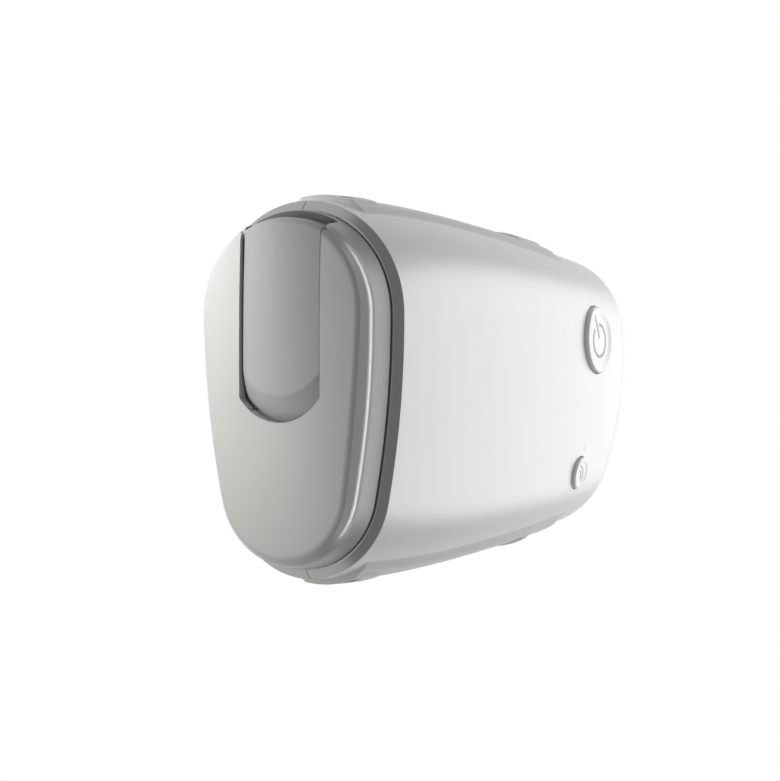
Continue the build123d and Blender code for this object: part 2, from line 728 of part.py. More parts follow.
with BuildPart() as motor_stator:
    with BuildSketch(blower_level(stator_low_z)):
        Circle(stator_radius)
        Circle(stator_radius - stator_ring, mode=Mode.SUBTRACT)
        with PolarLocations((pole_radius + stator_radius - 1) / 2, poles):
            Rectangle(stator_radius - 1 - pole_radius, 3.0)
    extrude(amount=stator_high_z - stator_low_z)
finish(motor_stator, "motor_stator")

with BuildPart() as motor_coils:
    with BuildSketch(blower_level(stator_low_z - 0.8)):
        with PolarLocations(pole_radius + 1.1, poles):
            Rectangle(1.6, 4.6)
    extrude(amount=stator_high_z - stator_low_z + 1.6)
    add(motor_stator.part, mode=Mode.SUBTRACT)
finish(motor_coils, "motor_coils")

with BuildPart() as motor_shaft:
    with BuildSketch(blower_level(can_floor_z)):
        Circle(shaft_radius)
    extrude(amount=impeller_top_z - 1 - can_floor_z)
finish(motor_shaft, "motor_shaft")

with BuildPart() as rotor_magnet:
    with BuildSketch(blower_level(stator_low_z)):
        Circle(magnet_radius)
        Circle(shaft_radius, mode=Mode.SUBTRACT)
    extrude(amount=stator_high_z - stator_low_z)
finish(rotor_magnet, "rotor_magnet")

with BuildSketch() as blade:
    with BuildLine():
        ThreePointArc((impeller_hub_radius - 0.6, 0), (9.4, -2.6), (13.8, -6.2))
    trace(line_width=0.8)

with BuildPart() as impeller:
    with BuildSketch(blower_level(impeller_floor_z)):
        Circle(impeller_radius)
    extrude(amount=impeller_plate)
    with BuildSketch(blower_level(impeller_floor_z)):
        with PolarLocations(0, impeller_blades):
            add(blade.sketch)
        Circle(impeller_hub_radius)
    extrude(amount=impeller_top_z - impeller_floor_z)
    with BuildSketch(blower_level(impeller_floor_z)):
        Circle(shaft_radius)
    extrude(amount=impeller_top_z - 1 - impeller_floor_z, mode=Mode.SUBTRACT)
finish(impeller, "impeller")


def draw_scroll(spread):
    """The scroll's outline in four growing quarter arcs and a straight outlet towards +X."""
    step = scroll_growth / 2
    centres = [(step, -step), (-step, -step), (-step, step), (step, step)]
    radii = [scroll_radius + quarter * scroll_growth + spread for quarter in range(4)]
    starts = [90, 0, -90, 180]
    for (x, y), radius, start in zip(centres, radii, starts):
        CenterArc((x, y), radius, start, -90)
    low, high = scroll_radius - step + spread, step + radii[3]
    Polyline((step, high), (scroll_outlet_x, high), (scroll_outlet_x, low), (step, low))


with BuildPart() as scroll_chamber:
    with BuildSketch(blower_level(scroll_floor_z + scroll_wall)):
        with BuildLine():
            draw_scroll(0.0)
        make_face()
    extrude(amount=scroll_lid_z - scroll_floor_z - 2 * scroll_wall)
    with BuildSketch(station(blower_x + scroll_outlet_x - 2, *duct_sections[0][1:3])):
        RectangleRounded(*duct_sections[0][3])
    extrude(amount=4)

with BuildPart() as scroll_case:
    with BuildSketch(blower_level(scroll_floor_z)):
        with BuildLine():
            draw_scroll(0.0)
        make_face()
        offset(amount=scroll_wall)
    extrude(amount=scroll_lid_z - scroll_floor_z)
    split(bisect_by=station(blower_x + scroll_outlet_x), keep=Keep.BOTTOM)
    add(scroll_chamber.part, mode=Mode.SUBTRACT)
    with BuildSketch(blower_level(scroll_floor_z + 1)):
        Circle(eye_radius)
    extrude(amount=20, mode=Mode.SUBTRACT)

with BuildPart() as volute_lower:
    add(scroll_case.part)
    split(bisect_by=blower_level(scroll_split_z), keep=Keep.BOTTOM)
    with BuildSketch(blower_level(upper_bearing_z - 0.4)):
        Circle(bearing_seat_radius)
    extrude(amount=scroll_floor_z + scroll_wall - upper_bearing_z + 0.4)
    with BuildSketch(blower_level(scroll_floor_z)):
        Circle(eye_radius + 1)
    extrude(amount=scroll_wall)
    with BuildSketch(blower_level(upper_bearing_z)):
        Circle(bearing_radius)
    extrude(amount=bearing_height, mode=Mode.SUBTRACT)
    with BuildSketch(blower_level(upper_bearing_z - 1)):
        Circle(shaft_radius + 0.3)
    extrude(amount=6, mode=Mode.SUBTRACT)
finish(volute_lower, "volute_lower")

with BuildPart() as volute_upper:
    add(scroll_case.part)
    split(bisect_by=blower_level(scroll_split_z), keep=Keep.TOP)
finish(volute_upper, "volute_upper")


def duct_form(spread):
    """The duct's outline through its sections, each made larger by the spread."""
    with BuildPart() as form:
        for x, y, z, (width, height, corner) in duct_sections:
            with BuildSketch(station(x, y, z)):
                RectangleRounded(width + 2 * spread, height + 2 * spread, corner + spread)
        loft()
    return form.part


sensor_x, sensor_y = sensor_place
tap_plane = board_plane.offset(-board_thickness - sensor_height)
duct_outside = duct_form(duct_wall)
with BuildPart() as outlet_duct:
    add(duct_outside)
    add(duct_form(0.0), mode=Mode.SUBTRACT)
    with BuildSketch(tap_plane):
        with Locations((sensor_x, sensor_y - sensor_tap)):
            Circle(tube_bore)
    extrude(amount=-8, mode=Mode.SUBTRACT)
finish(outlet_duct, "outlet_duct")

with BuildPart() as sensor_tube:
    with BuildSketch(tap_plane):
        with Locations((sensor_x, sensor_y - sensor_tap)):
            Circle(tube_radius)
            Circle(tube_bore, mode=Mode.SUBTRACT)
    extrude(amount=-6)
    add(duct_outside, mode=Mode.SUBTRACT)
finish(sensor_tube, "sensor_tube")

with BuildPart() as inlet_muffler:
    with BuildSketch(station(muffler_start_x)):
        with BuildLine():
            draw_egg(mouth, muffler_inset)
        make_face()
        with Locations((-18, 0), (0, 0), (18, 0)):
            SlotOverall(14, 6, rotation=90, mode=Mode.SUBTRACT)
    extrude(amount=muffler_length)
    for x, y in screw_places[:2]:
        with BuildSketch(Plane.XY):
            with Locations((x, y)):
                Circle(boss_radius + 0.3)
        extrude(amount=60, mode=Mode.SUBTRACT)
finish(inlet_muffler, "inlet_muffler")


# ---------------------------------------------------------------- electronics


with BuildPart() as control_board:
    with BuildSketch(board_plane):
        RectangleRounded(board_length, board_width, 2.0)
        with Locations(board_posts):
            Circle(1.0, mode=Mode.SUBTRACT)
    extrude(amount=-board_thickness)
finish(control_board, "control_board")

with BuildPart() as board_screws:
    with BuildSketch(board_plane.offset(-board_thickness)):
        with Locations(board_posts):
            Circle(0.8)
    extrude(amount=board_thickness + 3)
    with BuildSketch(board_plane.offset(-board_thickness)):
        with Locations(board_posts):
            Circle(1.7)
    extrude(amount=-1.1)
    with BuildSketch(board_plane.offset(-board_thickness - 1.1)):
        with Locations(board_posts):
            Rectangle(2.0, 0.4)
            Rectangle(0.4, 2.0)
    extrude(amount=0.6, mode=Mode.SUBTRACT)
finish(board_screws, "board_screws")

for name, x, y, length, width, height in board_top_parts:
    with BuildPart() as component:
        with BuildSketch(board_plane):
            with Locations((x, y)):
                RectangleRounded(length, width, 0.4)
        extrude(amount=height)
    finish(component, name)

with BuildPart() as pressure_sensor:
    with BuildSketch(board_plane.offset(-board_thickness)):
        with Locations(sensor_place):
            RectangleRounded(7.0, 7.0, 0.5)
    extrude(amount=-sensor_height)
finish(pressure_sensor, "pressure_sensor")

with BuildPart() as status_lights:
    for plane in (start_light_plane, connect_light_plane):
        spot_x, spot_y, drop = board_spot(plane)
        with BuildSketch(board_plane):
            with Locations((spot_x, spot_y)):
                Rectangle(1.6, 0.9)
        extrude(amount=0.7)
finish(status_lights, "status_lights")

with BuildPart() as cable_plugs:
    with BuildSketch(board_plane.offset(-board_thickness)):
        with Locations(motor_plug_place):
            Rectangle(4.0, 8.0)
        with Locations(power_plug_place):
            Rectangle(4.0, 6.0)
    extrude(amount=-plug_height)
finish(cable_plugs, "cable_plugs")


def wires(start, leaving, bends, plug_place, count):
    """A row of insulated wires, side by side along Y, ending in a plug under the board."""
    plug = board_plane.offset(-board_thickness - plug_height)
    with BuildPart() as row:
        for number in range(count):
            shift = (number - (count - 1) / 2) * wire_pitch
            plug_x, plug_y = plug_place
            end = plug.from_local_coords((plug_x, plug_y + shift, 0))
            points = [(x, y + shift, z) for x, y, z in (start, *bends)]
            points.append(tuple(end))
            with BuildLine() as path:
                Spline(*points, tangents=((leaving, 0, 0), tuple(plug.z_dir)))
            with BuildSketch(Plane(origin=path.line @ 0, z_dir=path.line % 0)):
                Circle(wire_radius)
            sweep(path=path.line)
    return row


finish(wires(motor_lead_start, 1, motor_lead_bends, motor_plug_place, 3), "motor_leads")
finish(wires(power_lead_start, -1, power_lead_bends, power_plug_place, 2), "power_leads")

for name, plane in (("start", start_plane), ("connect", connect_plane)):
    print(name, "centre", plane.origin, "inwards", -plane.z_dir, "drop", board_spot(plane)[2])
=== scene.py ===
"""Looks of a small travel CPAP machine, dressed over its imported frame.

The trim ring, sliding cover, side rails, buttons, feet and screws get their finished surfaces
here; every other piece keeps its own shape and gets its finish.
"""

import json
from collections import namedtuple
from math import atan2, cos, pi, radians, sin, sqrt, tan

import bmesh
import bpy
from bpy.props import FloatProperty, FloatVectorProperty, PointerProperty
from bpy.types import Operator, Panel, PropertyGroup
from mathutils import Matrix, Vector
from mathutils.bvhtree import BVHTree


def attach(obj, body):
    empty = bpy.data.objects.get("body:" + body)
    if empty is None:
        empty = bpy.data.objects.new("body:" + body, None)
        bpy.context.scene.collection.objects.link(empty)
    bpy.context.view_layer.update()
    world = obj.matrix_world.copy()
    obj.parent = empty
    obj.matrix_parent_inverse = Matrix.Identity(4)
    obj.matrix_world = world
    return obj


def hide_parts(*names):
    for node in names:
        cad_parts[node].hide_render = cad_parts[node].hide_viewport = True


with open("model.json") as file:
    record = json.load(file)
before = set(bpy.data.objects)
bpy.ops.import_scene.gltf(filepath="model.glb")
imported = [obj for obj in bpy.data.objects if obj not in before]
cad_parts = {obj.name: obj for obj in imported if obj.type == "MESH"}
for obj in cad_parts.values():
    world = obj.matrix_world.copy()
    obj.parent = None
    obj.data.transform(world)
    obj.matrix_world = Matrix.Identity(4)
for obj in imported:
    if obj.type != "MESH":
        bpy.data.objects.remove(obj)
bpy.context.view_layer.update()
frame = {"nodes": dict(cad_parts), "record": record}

bl_info = {
    "name": "Travel CPAP machine",
    "version": (1, 0, 0),
    "blender": (4, 5, 0),
    "location": "3D View > Sidebar > CPAP",
    "description": "Builds the outer pieces, finishes and stage of a small travel CPAP machine",
    "category": "Add Mesh",
}

MM = 0.001
PLASTIC_IOR = 1.5
WAVE_REPEAT = 2 * pi / 20  # how far apart a Wave Texture's bands lie at a scale of 1
MIX_LOW, MIX_HIGH, MIX_RESULT = 6, 7, 2  # the colour sockets of a Mix node
FINISHES = {}  # every material, by the record's slot names, once the finishes are made


# ---------------------------------------------------------------- colours and shader nodes


def linear(hex_colour):
    """An sRGB hex colour as linear red, green and blue."""
    parts = [int(hex_colour[i : i + 2], 16) / 255 for i in (0, 2, 4)]
    return [c / 12.92 if c <= 0.04045 else ((c + 0.055) / 1.055) ** 2.4 for c in parts]


def add_node(tree, kind, settings=None, links=None):
    """A node of a tree, with its properties and inputs set and its inputs linked."""
    made = tree.nodes.new(kind)
    for name, value in (settings or {}).items():
        if hasattr(made, name):
            setattr(made, name, value)
        else:
            made.inputs[name].default_value = value
    for name, source in (links or {}).items():
        tree.links.new(source, made.inputs[name])
    return made


def new_material(name, colour, roughness, metallic=0.0):
    """A material with one Principled shader, and the object's own coordinates."""
    made = bpy.data.materials.new(name)
    made.use_nodes = True
    made.diffuse_color = (*colour, 1)
    tree = made.node_tree
    tree.nodes.clear()
    shader = add_node(
        tree,
        "ShaderNodeBsdfPrincipled",
        {"Base Color": (*colour, 1), "Roughness": roughness, "Metallic": metallic},
    )
    if not metallic:
        shader.inputs["IOR"].default_value = PLASTIC_IOR
    add_node(tree, "ShaderNodeOutputMaterial", links={"Surface": shader.outputs["BSDF"]})
    place = add_node(tree, "ShaderNodeTexCoord").outputs["Object"]
    return made, tree, shader, place


def add_grain(tree, shader, place, grain, height, detail=2.0):
    """A fine random relief, with bumps a grain apart and a height deep, in metres."""
    noise = add_node(
        tree, "ShaderNodeTexNoise", {"Scale": 1 / grain, "Detail": detail}, {"Vector": place}
    )
    bump = add_node(
        tree,
        "ShaderNodeBump",
        {"Strength": 1.0, "Distance": height},
        {"Height": noise.outputs["Fac"]},
    )
    tree.links.new(bump.outputs["Normal"], shader.inputs["Normal"])


def add_mottle(tree, shader, place, colour, size, amount):
    """Slightly lighter and darker patches of a colour, a size apart in metres."""
    noise = add_node(tree, "ShaderNodeTexNoise", {"Scale": 1 / size}, {"Vector": place})
    low = [c * (1 - amount) for c in colour]
    high = [min(c * (1 + amount), 1) for c in colour]
    mix = add_node(
        tree, "ShaderNodeMix", {"data_type": "RGBA"}, {"Factor": noise.outputs["Fac"]}
    )
    mix.inputs[MIX_LOW].default_value = (*low, 1)
    mix.inputs[MIX_HIGH].default_value = (*high, 1)
    tree.links.new(mix.outputs[MIX_RESULT], shader.inputs["Base Color"])


def moulded(name, colour, roughness, height=0.006 * MM, metallic=0.0):
    """Injection-moulded plastic: an even colour under the fine spark texture of its mould.

    Metallic is the share of flakes in the plastic.
    """
    grain, patch, unevenness = 0.35 * MM, 9 * MM, 0.02
    made, tree, shader, place = new_material(name, colour, roughness, metallic=metallic)
    add_grain(tree, shader, place, grain, height)
    add_mottle(tree, shader, place, colour, patch, unevenness)
    return made


def machined(name, colour, roughness):
    """Turned or ground metal: fine scratches, a little stretched, in a bright surface."""
    stretch, scratch, depth, patch, unevenness = 12, 0.5 * MM, 0.004 * MM, 2 * MM, 0.06
    made, tree, shader, place = new_material(name, colour, roughness, metallic=1.0)
    stretched = add_node(
        tree, "ShaderNodeMapping", {"Scale": (1, 1, stretch)}, {"Vector": place}
    ).outputs["Vector"]
    add_grain(tree, shader, stretched, scratch, depth, detail=4)
    add_mottle(tree, shader, stretched, colour, patch, unevenness)
    return made


def banded(name, colour, roughness, pitch, waver, depth):
    """Metal in level bands a pitch apart: stacked sheets, or wire laid side by side."""
    made, tree, shader, place = new_material(name, colour, roughness, metallic=1.0)
    bands = add_node(
        tree,
        "ShaderNodeTexWave",
        {"bands_direction": "Z", "Scale": WAVE_REPEAT / pitch, "Distortion": waver},
        {"Vector": place},
    )
    bump = add_node(
        tree, "ShaderNodeBump", {"Distance": depth}, {"Height": bands.outputs["Fac"]}
    )
    tree.links.new(bump.outputs["Normal"], shader.inputs["Normal"])
    return made


def solder_mask(name, colour):
    """Circuit board: green lacquer over tracks, which show as lighter straight bands."""
    block, track_share, track_depth = 4 * MM, 0.06, 0.02 * MM
    darker, lighter = 0.86, 1.9
    made, tree, shader, place = new_material(name, colour, 0.32)
    tracks = add_node(
        tree,
        "ShaderNodeTexBrick",
        {
            "Scale": 1 / block,
            "Mortar Size": track_share,
            "Color1": (*colour, 1),
            "Color2": (*[c * darker for c in colour], 1),
            "Mortar": (*[min(1, c * lighter) for c in colour], 1),
        },
        {"Vector": place},
    )
    tree.links.new(tracks.outputs["Color"], shader.inputs["Base Color"])
    bump = add_node(
        tree, "ShaderNodeBump", {"Distance": track_depth}, {"Height": tracks.outputs["Fac"]}
    )
    tree.links.new(bump.outputs["Normal"], shader.inputs["Normal"])
    return made


def porous(name, colour, pore, depth):
    """Open-cell foam or pressed felt: pale walls, with painted shade darkening the pores between
    them.
    """
    # How much darker the pores are, as painted shade in their hollows, and how much lighter the
    # walls.
    darker, lighter = 0.45, 1.15
    made, tree, shader, place = new_material(name, colour, 0.95)
    cells = add_node(tree, "ShaderNodeTexVoronoi", {"Scale": 1 / pore}, {"Vector": place})
    painted_pore_shade = add_node(
        tree, "ShaderNodeMix", {"data_type": "RGBA"}, {"Factor": cells.outputs["Distance"]}
    )
    painted_pore_shade.inputs[MIX_LOW].default_value = (*[c * darker for c in colour], 1)
    painted_pore_shade.inputs[MIX_HIGH].default_value = (*[min(1, c * lighter) for c in colour], 1)
    tree.links.new(painted_pore_shade.outputs[MIX_RESULT], shader.inputs["Base Color"])
    bump = add_node(
        tree, "ShaderNodeBump", {"Distance": depth}, {"Height": cells.outputs["Distance"]}
    )
    tree.links.new(bump.outputs["Normal"], shader.inputs["Normal"])
    return made


def make_finishes(colours):
    """Every finish of the machine, by the record's slot names."""
    return {
        # White ABS with a very fine spark texture: bright, soft, no sharp reflections.
        "case_plastic": moulded("white_abs", colours.shell, 0.36),
        # Pale grey plastic of the rails, a touch duller than the shells.
        "rail_plastic": moulded("pale_grey_abs", colours.rail, 0.42),
        # Silver-grey trim with metal flakes: pale on one side and dark on the other.
        "ring_plastic": moulded(
            "silver_flake_pc", colours.ring, 0.3, height=0.003 * MM, metallic=0.85
        ),
        # Warm grey cap, moulded smooth: long soft gradients, and a bright line along its edge.
        "cap_plastic": moulded("warm_grey_abs", colours.cap, 0.3, height=0.003 * MM),
        # Mid grey cover: as satin as the cap, and cooler in tone.
        "cover_plastic": moulded("mid_grey_abs", colours.cover, 0.34, height=0.004 * MM),
        # White buttons, a little smoother than the shells, so that their edges stand out.
        "button_plastic": moulded("white_button_abs", colours.button, 0.33),
        # Moulded inner pieces: dull black nylon and epoxy, and a plain white wheel.
        "blower_plastic": moulded("black_glass_filled_nylon", linear("2E3033"), 0.5),
        "impeller_plastic": moulded("natural_nylon", linear("D9D9D6"), 0.4),
        "chip_black": moulded("moulded_epoxy", linear("1C1C1E"), 0.55),
        # Dull black rubber with no shine, for the feet; the same dark rubber sheet in each rail
        # pocket is painted shade.
        "foot_rubber": moulded("matt_rubber", linear("3A3A3B"), 0.8, height=0.012 * MM),
        # Dark grey rubber lip at the cover's end: its darkness is painted shade, standing for the
        # shade of a deep intake gap there.
        "seal_rubber": moulded("painted_shade_grey_rubber", linear("6A6A6B"), 0.7, height=0.008 * MM),
        # Soft pieces and wires: smooth, with a weak broad shine.
        "silicone": moulded("grey_silicone", linear("C9CBCB"), 0.45, height=0.002 * MM),
        # Light guides, unlit: smooth enough to show as small glossy grey dots.
        "light_guide": moulded("clear_acrylic", linear("B2B5AC"), 0.1, height=0.001 * MM),
        "wire_insulation": moulded("red_pvc", linear("A62C24"), 0.4, height=0.002 * MM),
        "power_wire_insulation": moulded("black_pvc", linear("232325"), 0.4),
        # Bare metals, each with its own tint and fine scratches that spread the shine.
        "steel": machined("machined_steel", linear("A9ABAE"), 0.32),
        "shield_metal": machined("tinned_steel", linear("C4C6C8"), 0.25),
        "brass_contact": machined("bright_brass", linear("C9A24B"), 0.2),
        "magnet": machined("nickel_coated_magnet", linear("3B3C40"), 0.3),
        # Sheets of about 0.35 mm, drawn 1.38 mm apart so that the level lines show.
        "electrical_steel": banded(
            "laminated_steel", linear("4A4B4E"), 0.45, 1.381 * MM, waver=0.0, depth=0.05 * MM
        ),
        # Wire of about 0.4 mm, drawn 0.79 mm apart so that its turns show.
        "copper": banded(
            "enamelled_copper", linear("B5683A"), 0.3, 0.7892 * MM, waver=0.3, depth=0.12 * MM
        ),
        "circuit_board": solder_mask("green_solder_mask", linear("1E5B36")),
        # Pad-printed signs on the buttons: matt pale grey ink.
        "sign_print": moulded("grey_pad_print", linear("BEBEBC"), 0.6, height=0.002 * MM),
        # Felt and foam: no shine, and pores darkened with painted shade into a fine dark grain.
        "filter_fabric": porous("white_felt", linear("E6E7E3"), 0.5 * MM, 0.15 * MM),
        "foam": porous("grey_foam", linear("55575A"), 1.2 * MM, 0.5 * MM),
    }


# ---------------------------------------------------------------- settings


def colour(name, description, hex_colour):
    """A setting for a colour, whose default is an sRGB hex colour."""
    return FloatVectorProperty(
        name=name, description=description, subtype="COLOR", default=linear(hex_colour)
    )


def length(name, description, millimetres):
    """A setting for a length, whose default is in millimetres."""
    return FloatProperty(
        name=name, description=description, default=millimetres * MM, unit="LENGTH"
    )


def power(name, description, watts):
    """A setting for the power of a light."""
    return FloatProperty(name=name, description=description, default=watts, unit="POWER")


class CPAP_PG_colours(PropertyGroup):
    shell: colour("Shell", "Colour of the two housing shells", "EEEEED")
    rail: colour("Rails", "Colour of the raised side rails", "DCDCDA")
    ring: colour("Trim ring", "Colour of the ring round the mouth", "A6A6A4")
    cap: colour("Filter cap", "Colour of the cap at the wide end", "B0B0AD")
    cover: colour("Sliding cover", "Colour of the cover over the filter", "9D9D9C")
    button: colour("Buttons", "Colour of the two push buttons", "EFEFED")


class CPAP_PG_sizes(PropertyGroup):
    ring_depth: length("Ring depth", "How far the trim ring stands in front of the shells", 1.6)
    ring_slope: length("Ring slope", "Width of the trim ring's sloped face", 1.75)
    ring_width: length("Ring width", "Full width of the trim ring", 3.7)
    cover_half_width: length("Cover half width", "Half the width of the sliding cover", 9.9)
    cover_rounding: length("Cover rounding", "Radius along the edges of the sliding cover", 0.35)
    rail_proud: length("Rail height", "How far the side rails stand out of the case", 0.8)
    pad_proud: length(
        "Pad height", "How far the pads at the ends of the rails stand out of the case", 1.35
    )
    pocket_depth: length("Pocket depth", "Depth of the latch pocket in each rail", 1.5)
    button_rounding: length("Button rounding", "Radius round the top edge of both buttons", 0.45)
    button_lip: length(
        "Button lip", "How far the start button's edge rises above its middle", 0.35
    )
    mark_width: length("Sign line", "Line width of the start button's sign", 0.75)


class CPAP_PG_stage(PropertyGroup):
    camera_distance: FloatProperty(
        name="Camera distance",
        description="From the camera to the top of the mouth's rim",
        default=1.0,
        min=0.3,
        unit="LENGTH",
    )
    camera_elevation: FloatProperty(
        name="Camera elevation",
        description="How far the camera looks down",
        default=radians(32),
        subtype="ANGLE",
    )
    camera_roll: FloatProperty(
        name="Camera roll",
        description="Turn of the picture about the line of sight",
        default=radians(-0.58),
        subtype="ANGLE",
    )
    lens: FloatProperty(
        name="Lens",
        description="Focal length in millimetres for a 36 mm wide sensor",
        default=216.0,
        min=20.0,
    )
    high_power: power("High light", "Power of the soft light behind the outlet end", 1.4)
    low_power: power(
        "Low light", "Power of the soft light close to the floor before the cap", 0.037
    )
    edge_power: power(
        "Edge light", "Power of the long light overhead that draws the cap's bright edge", 26.0
    )
    wall_power: power(
        "Wall light", "Power of the long light overhead that the cap's wall shows", 6.5
    )
    surround: FloatProperty(
        name="Surround", description="Strength of the even light from all round", default=0.32
    )


# ---------------------------------------------------------------- shared shapes

Egg = namedtuple("Egg", "half_width fat_radius thin_radius side_radius")
MOUTH_X, AXIS_HEIGHT = -56.4, 27.35
MOUTH = Egg(40.9, 24.6, 20.6, 201.0)
FAT_END, THIN_START = 0.35, 0.65  # the turns at which an egg's long side arc begins and ends


def egg_point(egg, inset, turn):
    """A point of an egg of four tangent arcs, and the outward direction there.

    A turn of 0 is its fat end, 1 the top of its thin end, and it goes on underneath to 2.
    """
    width, fat, thin, side = (size - inset for size in egg)
    fat_y, thin_y = width - fat, thin - width
    span = fat_y - thin_y
    to_fat, to_thin = side - fat, side - thin
    along = (to_fat**2 - to_thin**2 + span**2) / (2 * span)
    side_y, side_z = fat_y - along, -sqrt(to_fat**2 - along**2)
    fat_angle = atan2(-side_z, fat_y - side_y)
    thin_angle = atan2(-side_z, thin_y - side_y)
    low = turn > 1
    if low:
        turn = 2 - turn
    if turn < FAT_END:
        angle = turn / FAT_END * fat_angle
        centre, radius = (fat_y, 0), fat
    elif turn < THIN_START:
        share = (turn - FAT_END) / (THIN_START - FAT_END)
        angle = fat_angle + share * (thin_angle - fat_angle)
        centre, radius = (side_y, side_z), side
    else:
        angle = thin_angle + (turn - THIN_START) / (1 - THIN_START) * (pi - thin_angle)
        centre, radius = (thin_y, 0), thin
    y, z = centre[0] + radius * cos(angle), centre[1] + radius * sin(angle)
    flip = -1 if low else 1
    return (y, flip * z), (cos(angle), flip * sin(angle))


# The housing's outline along the machine: x, y and z of each centre, then its egg.
SECTIONS = [
    (MOUTH_X, 0.0, AXIS_HEIGHT, MOUTH),
    (-28.0, 0.0, 26.5, Egg(40.3, 23.5, 19.9, 190.0)),
    (15.0, -0.15, 24.8, Egg(36.35, 21.2, 18.5, 170.0)),
    (45.0, -0.15, 23.2, Egg(32.65, 19.2, 17.0, 150.0)),
    (68.0, -0.05, 21.6, Egg(29.45, 17.0, 15.4, 140.0)),
]
PARTING_DROP = 0.04622  # how much lower the parting line lies for each millimetre towards +X


def housing_at(x):
    """Centre and egg of the housing at a place along it, by the curve through its sections."""
    shares = []
    for here in SECTIONS:
        share = 1.0
        for other in SECTIONS:
            if other is not here:
                share *= (x - other[0]) / (here[0] - other[0])
        shares.append(share)
    centre_y = sum(share * section[1] for share, section in zip(shares, SECTIONS))
    centre_z = sum(share * section[2] for share, section in zip(shares, SECTIONS))
    sizes = zip(*(section[3] for section in SECTIONS))
    egg = Egg(*(sum(share * size for share, size in zip(shares, row)) for row in sizes))
    return centre_y, centre_z, egg


def new_object(name, data):
    """An object in the scene with the given data."""
    made = bpy.data.objects.new(name, data)
    bpy.context.scene.collection.objects.link(made)
    return made


def soft_step(value, start, end):
    """0 before the start, 1 after the end, and a smooth rise between."""
    share = min(max((value - start) / (end - start), 0), 1)
    return share * share * (3 - 2 * share)


def double_sheet(name, outer, inner):
    """A closed form from two grids of points with the same rows and columns."""
    rows, columns = len(outer), len(outer[0])
    vertices = [point for sheet in (outer, inner) for row in sheet for point in row]
    below = rows * columns
    faces = []
    for row in range(rows - 1):
        for column in range(columns - 1):
            a = row * columns + column
            b, c, d = a + 1, a + columns + 1, a + columns
            faces += [(a, b, c, d), (below + a, below + d, below + c, below + b)]
    rim = [(0, k) for k in range(columns)] + [(k, columns - 1) for k in range(1, rows)]
    rim += [(rows - 1, k) for k in range(columns - 2, -1, -1)]
    rim += [(k, 0) for k in range(rows - 2, 0, -1)]
    rim = [row * columns + column for row, column in rim]
    for k, here in enumerate(rim):
        after = rim[(k + 1) % len(rim)]
        faces.append((after, here, below + here, below + after))
    mesh = bpy.data.meshes.new(name)
    mesh.from_pydata([tuple(c * MM for c in point) for point in vertices], [], faces)
    return new_object(name, mesh)


def rounded_outline(corners, steps=6):
    """A closed outline with its corners rounded; each corner is across, along and its radius."""
    points = []
    for k, (across, along, radius) in enumerate(corners):
        here = Vector((across, along))
        before = Vector(corners[k - 1][:2]) - here
        after = Vector(corners[(k + 1) % len(corners)][:2]) - here
        if not radius:
            points.append(tuple(here))
            continue
        before.normalize()
        after.normalize()
        half = before.angle(after) / 2
        reach = radius / tan(half)
        centre = here + (before + after).normalized() * radius / sin(half)
        start, end = here + before * reach - centre, here + after * reach - centre
        sweep = start.angle_signed(end)
        for step in range(steps + 1):
            spoke = start.copy()
            spoke.rotate(Matrix.Rotation(-sweep * step / steps, 2))
            points.append(tuple(centre + spoke))
    return points


def make_curve(name, points, closed):
    """A poly curve through points given in metres."""
    curve = bpy.data.curves.new(name, "CURVE")
    curve.dimensions = "3D"
    spline = curve.splines.new("POLY")
    spline.points.add(len(points) - 1)
    for spot, point in zip(spline.points, points):
        spot.co = (*point, 1)
    spline.use_cyclic_u = closed
    return new_object(name, curve)


def new_tree(name, inputs):
    """An empty geometry tree with named inputs; gives it, its input node and their identifiers."""
    tree = bpy.data.node_groups.new(name, "GeometryNodeTree")
    identifiers = {}
    for label, kind in inputs:
        socket = tree.interface.new_socket(label, in_out="INPUT", socket_type=kind)
        identifiers[label] = socket.identifier
    tree.interface.new_socket("Geometry", in_out="OUTPUT", socket_type="NodeSocketGeometry")
    return tree, add_node(tree, "NodeGroupInput"), identifiers


def end_tree(tree, given, geometry):
    """Ends a tree in Realize Instances and Set Material."""
    real = add_node(tree, "GeometryNodeRealizeInstances", links={"Geometry": geometry})
    dressed = add_node(
        tree,
        "GeometryNodeSetMaterial",
        links={"Geometry": real.outputs["Geometry"], "Material": given.outputs["Material"]},
    )
    add_node(tree, "NodeGroupOutput", links={"Geometry": dressed.outputs["Geometry"]})


def add_sweep(tree, path, profile, caps):
    """Sweeps a profile object along a level path, and gives the swept mesh."""
    level = add_node(tree, "GeometryNodeSetCurveNormal", {"mode": "Z_UP"}, {"Curve": path})
    outline = add_node(tree, "GeometryNodeObjectInfo", links={"Object": profile})
    swept = add_node(
        tree,
        "GeometryNodeCurveToMesh",
        {"Fill Caps": caps},
        {"Curve": level.outputs["Curve"], "Profile Curve": outline.outputs["Geometry"]},
    )
    return swept.outputs["Mesh"]


def sweep_tree():
    """Sweeps a closed profile along a path, which stays in its own plane."""
    tree, given, identifiers = new_tree(
        "profile_sweep",
        [
            ("Geometry", "NodeSocketGeometry"),
            ("Profile", "NodeSocketObject"),
            ("Turn", "NodeSocketRotation"),
            ("Place", "NodeSocketVector"),
            ("Material", "NodeSocketMaterial"),
        ],
    )
    swept = add_sweep(tree, given.outputs["Geometry"], given.outputs["Profile"], caps=True)
    placed = add_node(
        tree,
        "GeometryNodeTransform",
        links={
            "Geometry": swept,
            "Rotation": given.outputs["Turn"],
            "Translation": given.outputs["Place"],
        },
    )
    end_tree(tree, given, placed.outputs["Geometry"])
    return tree, identifiers


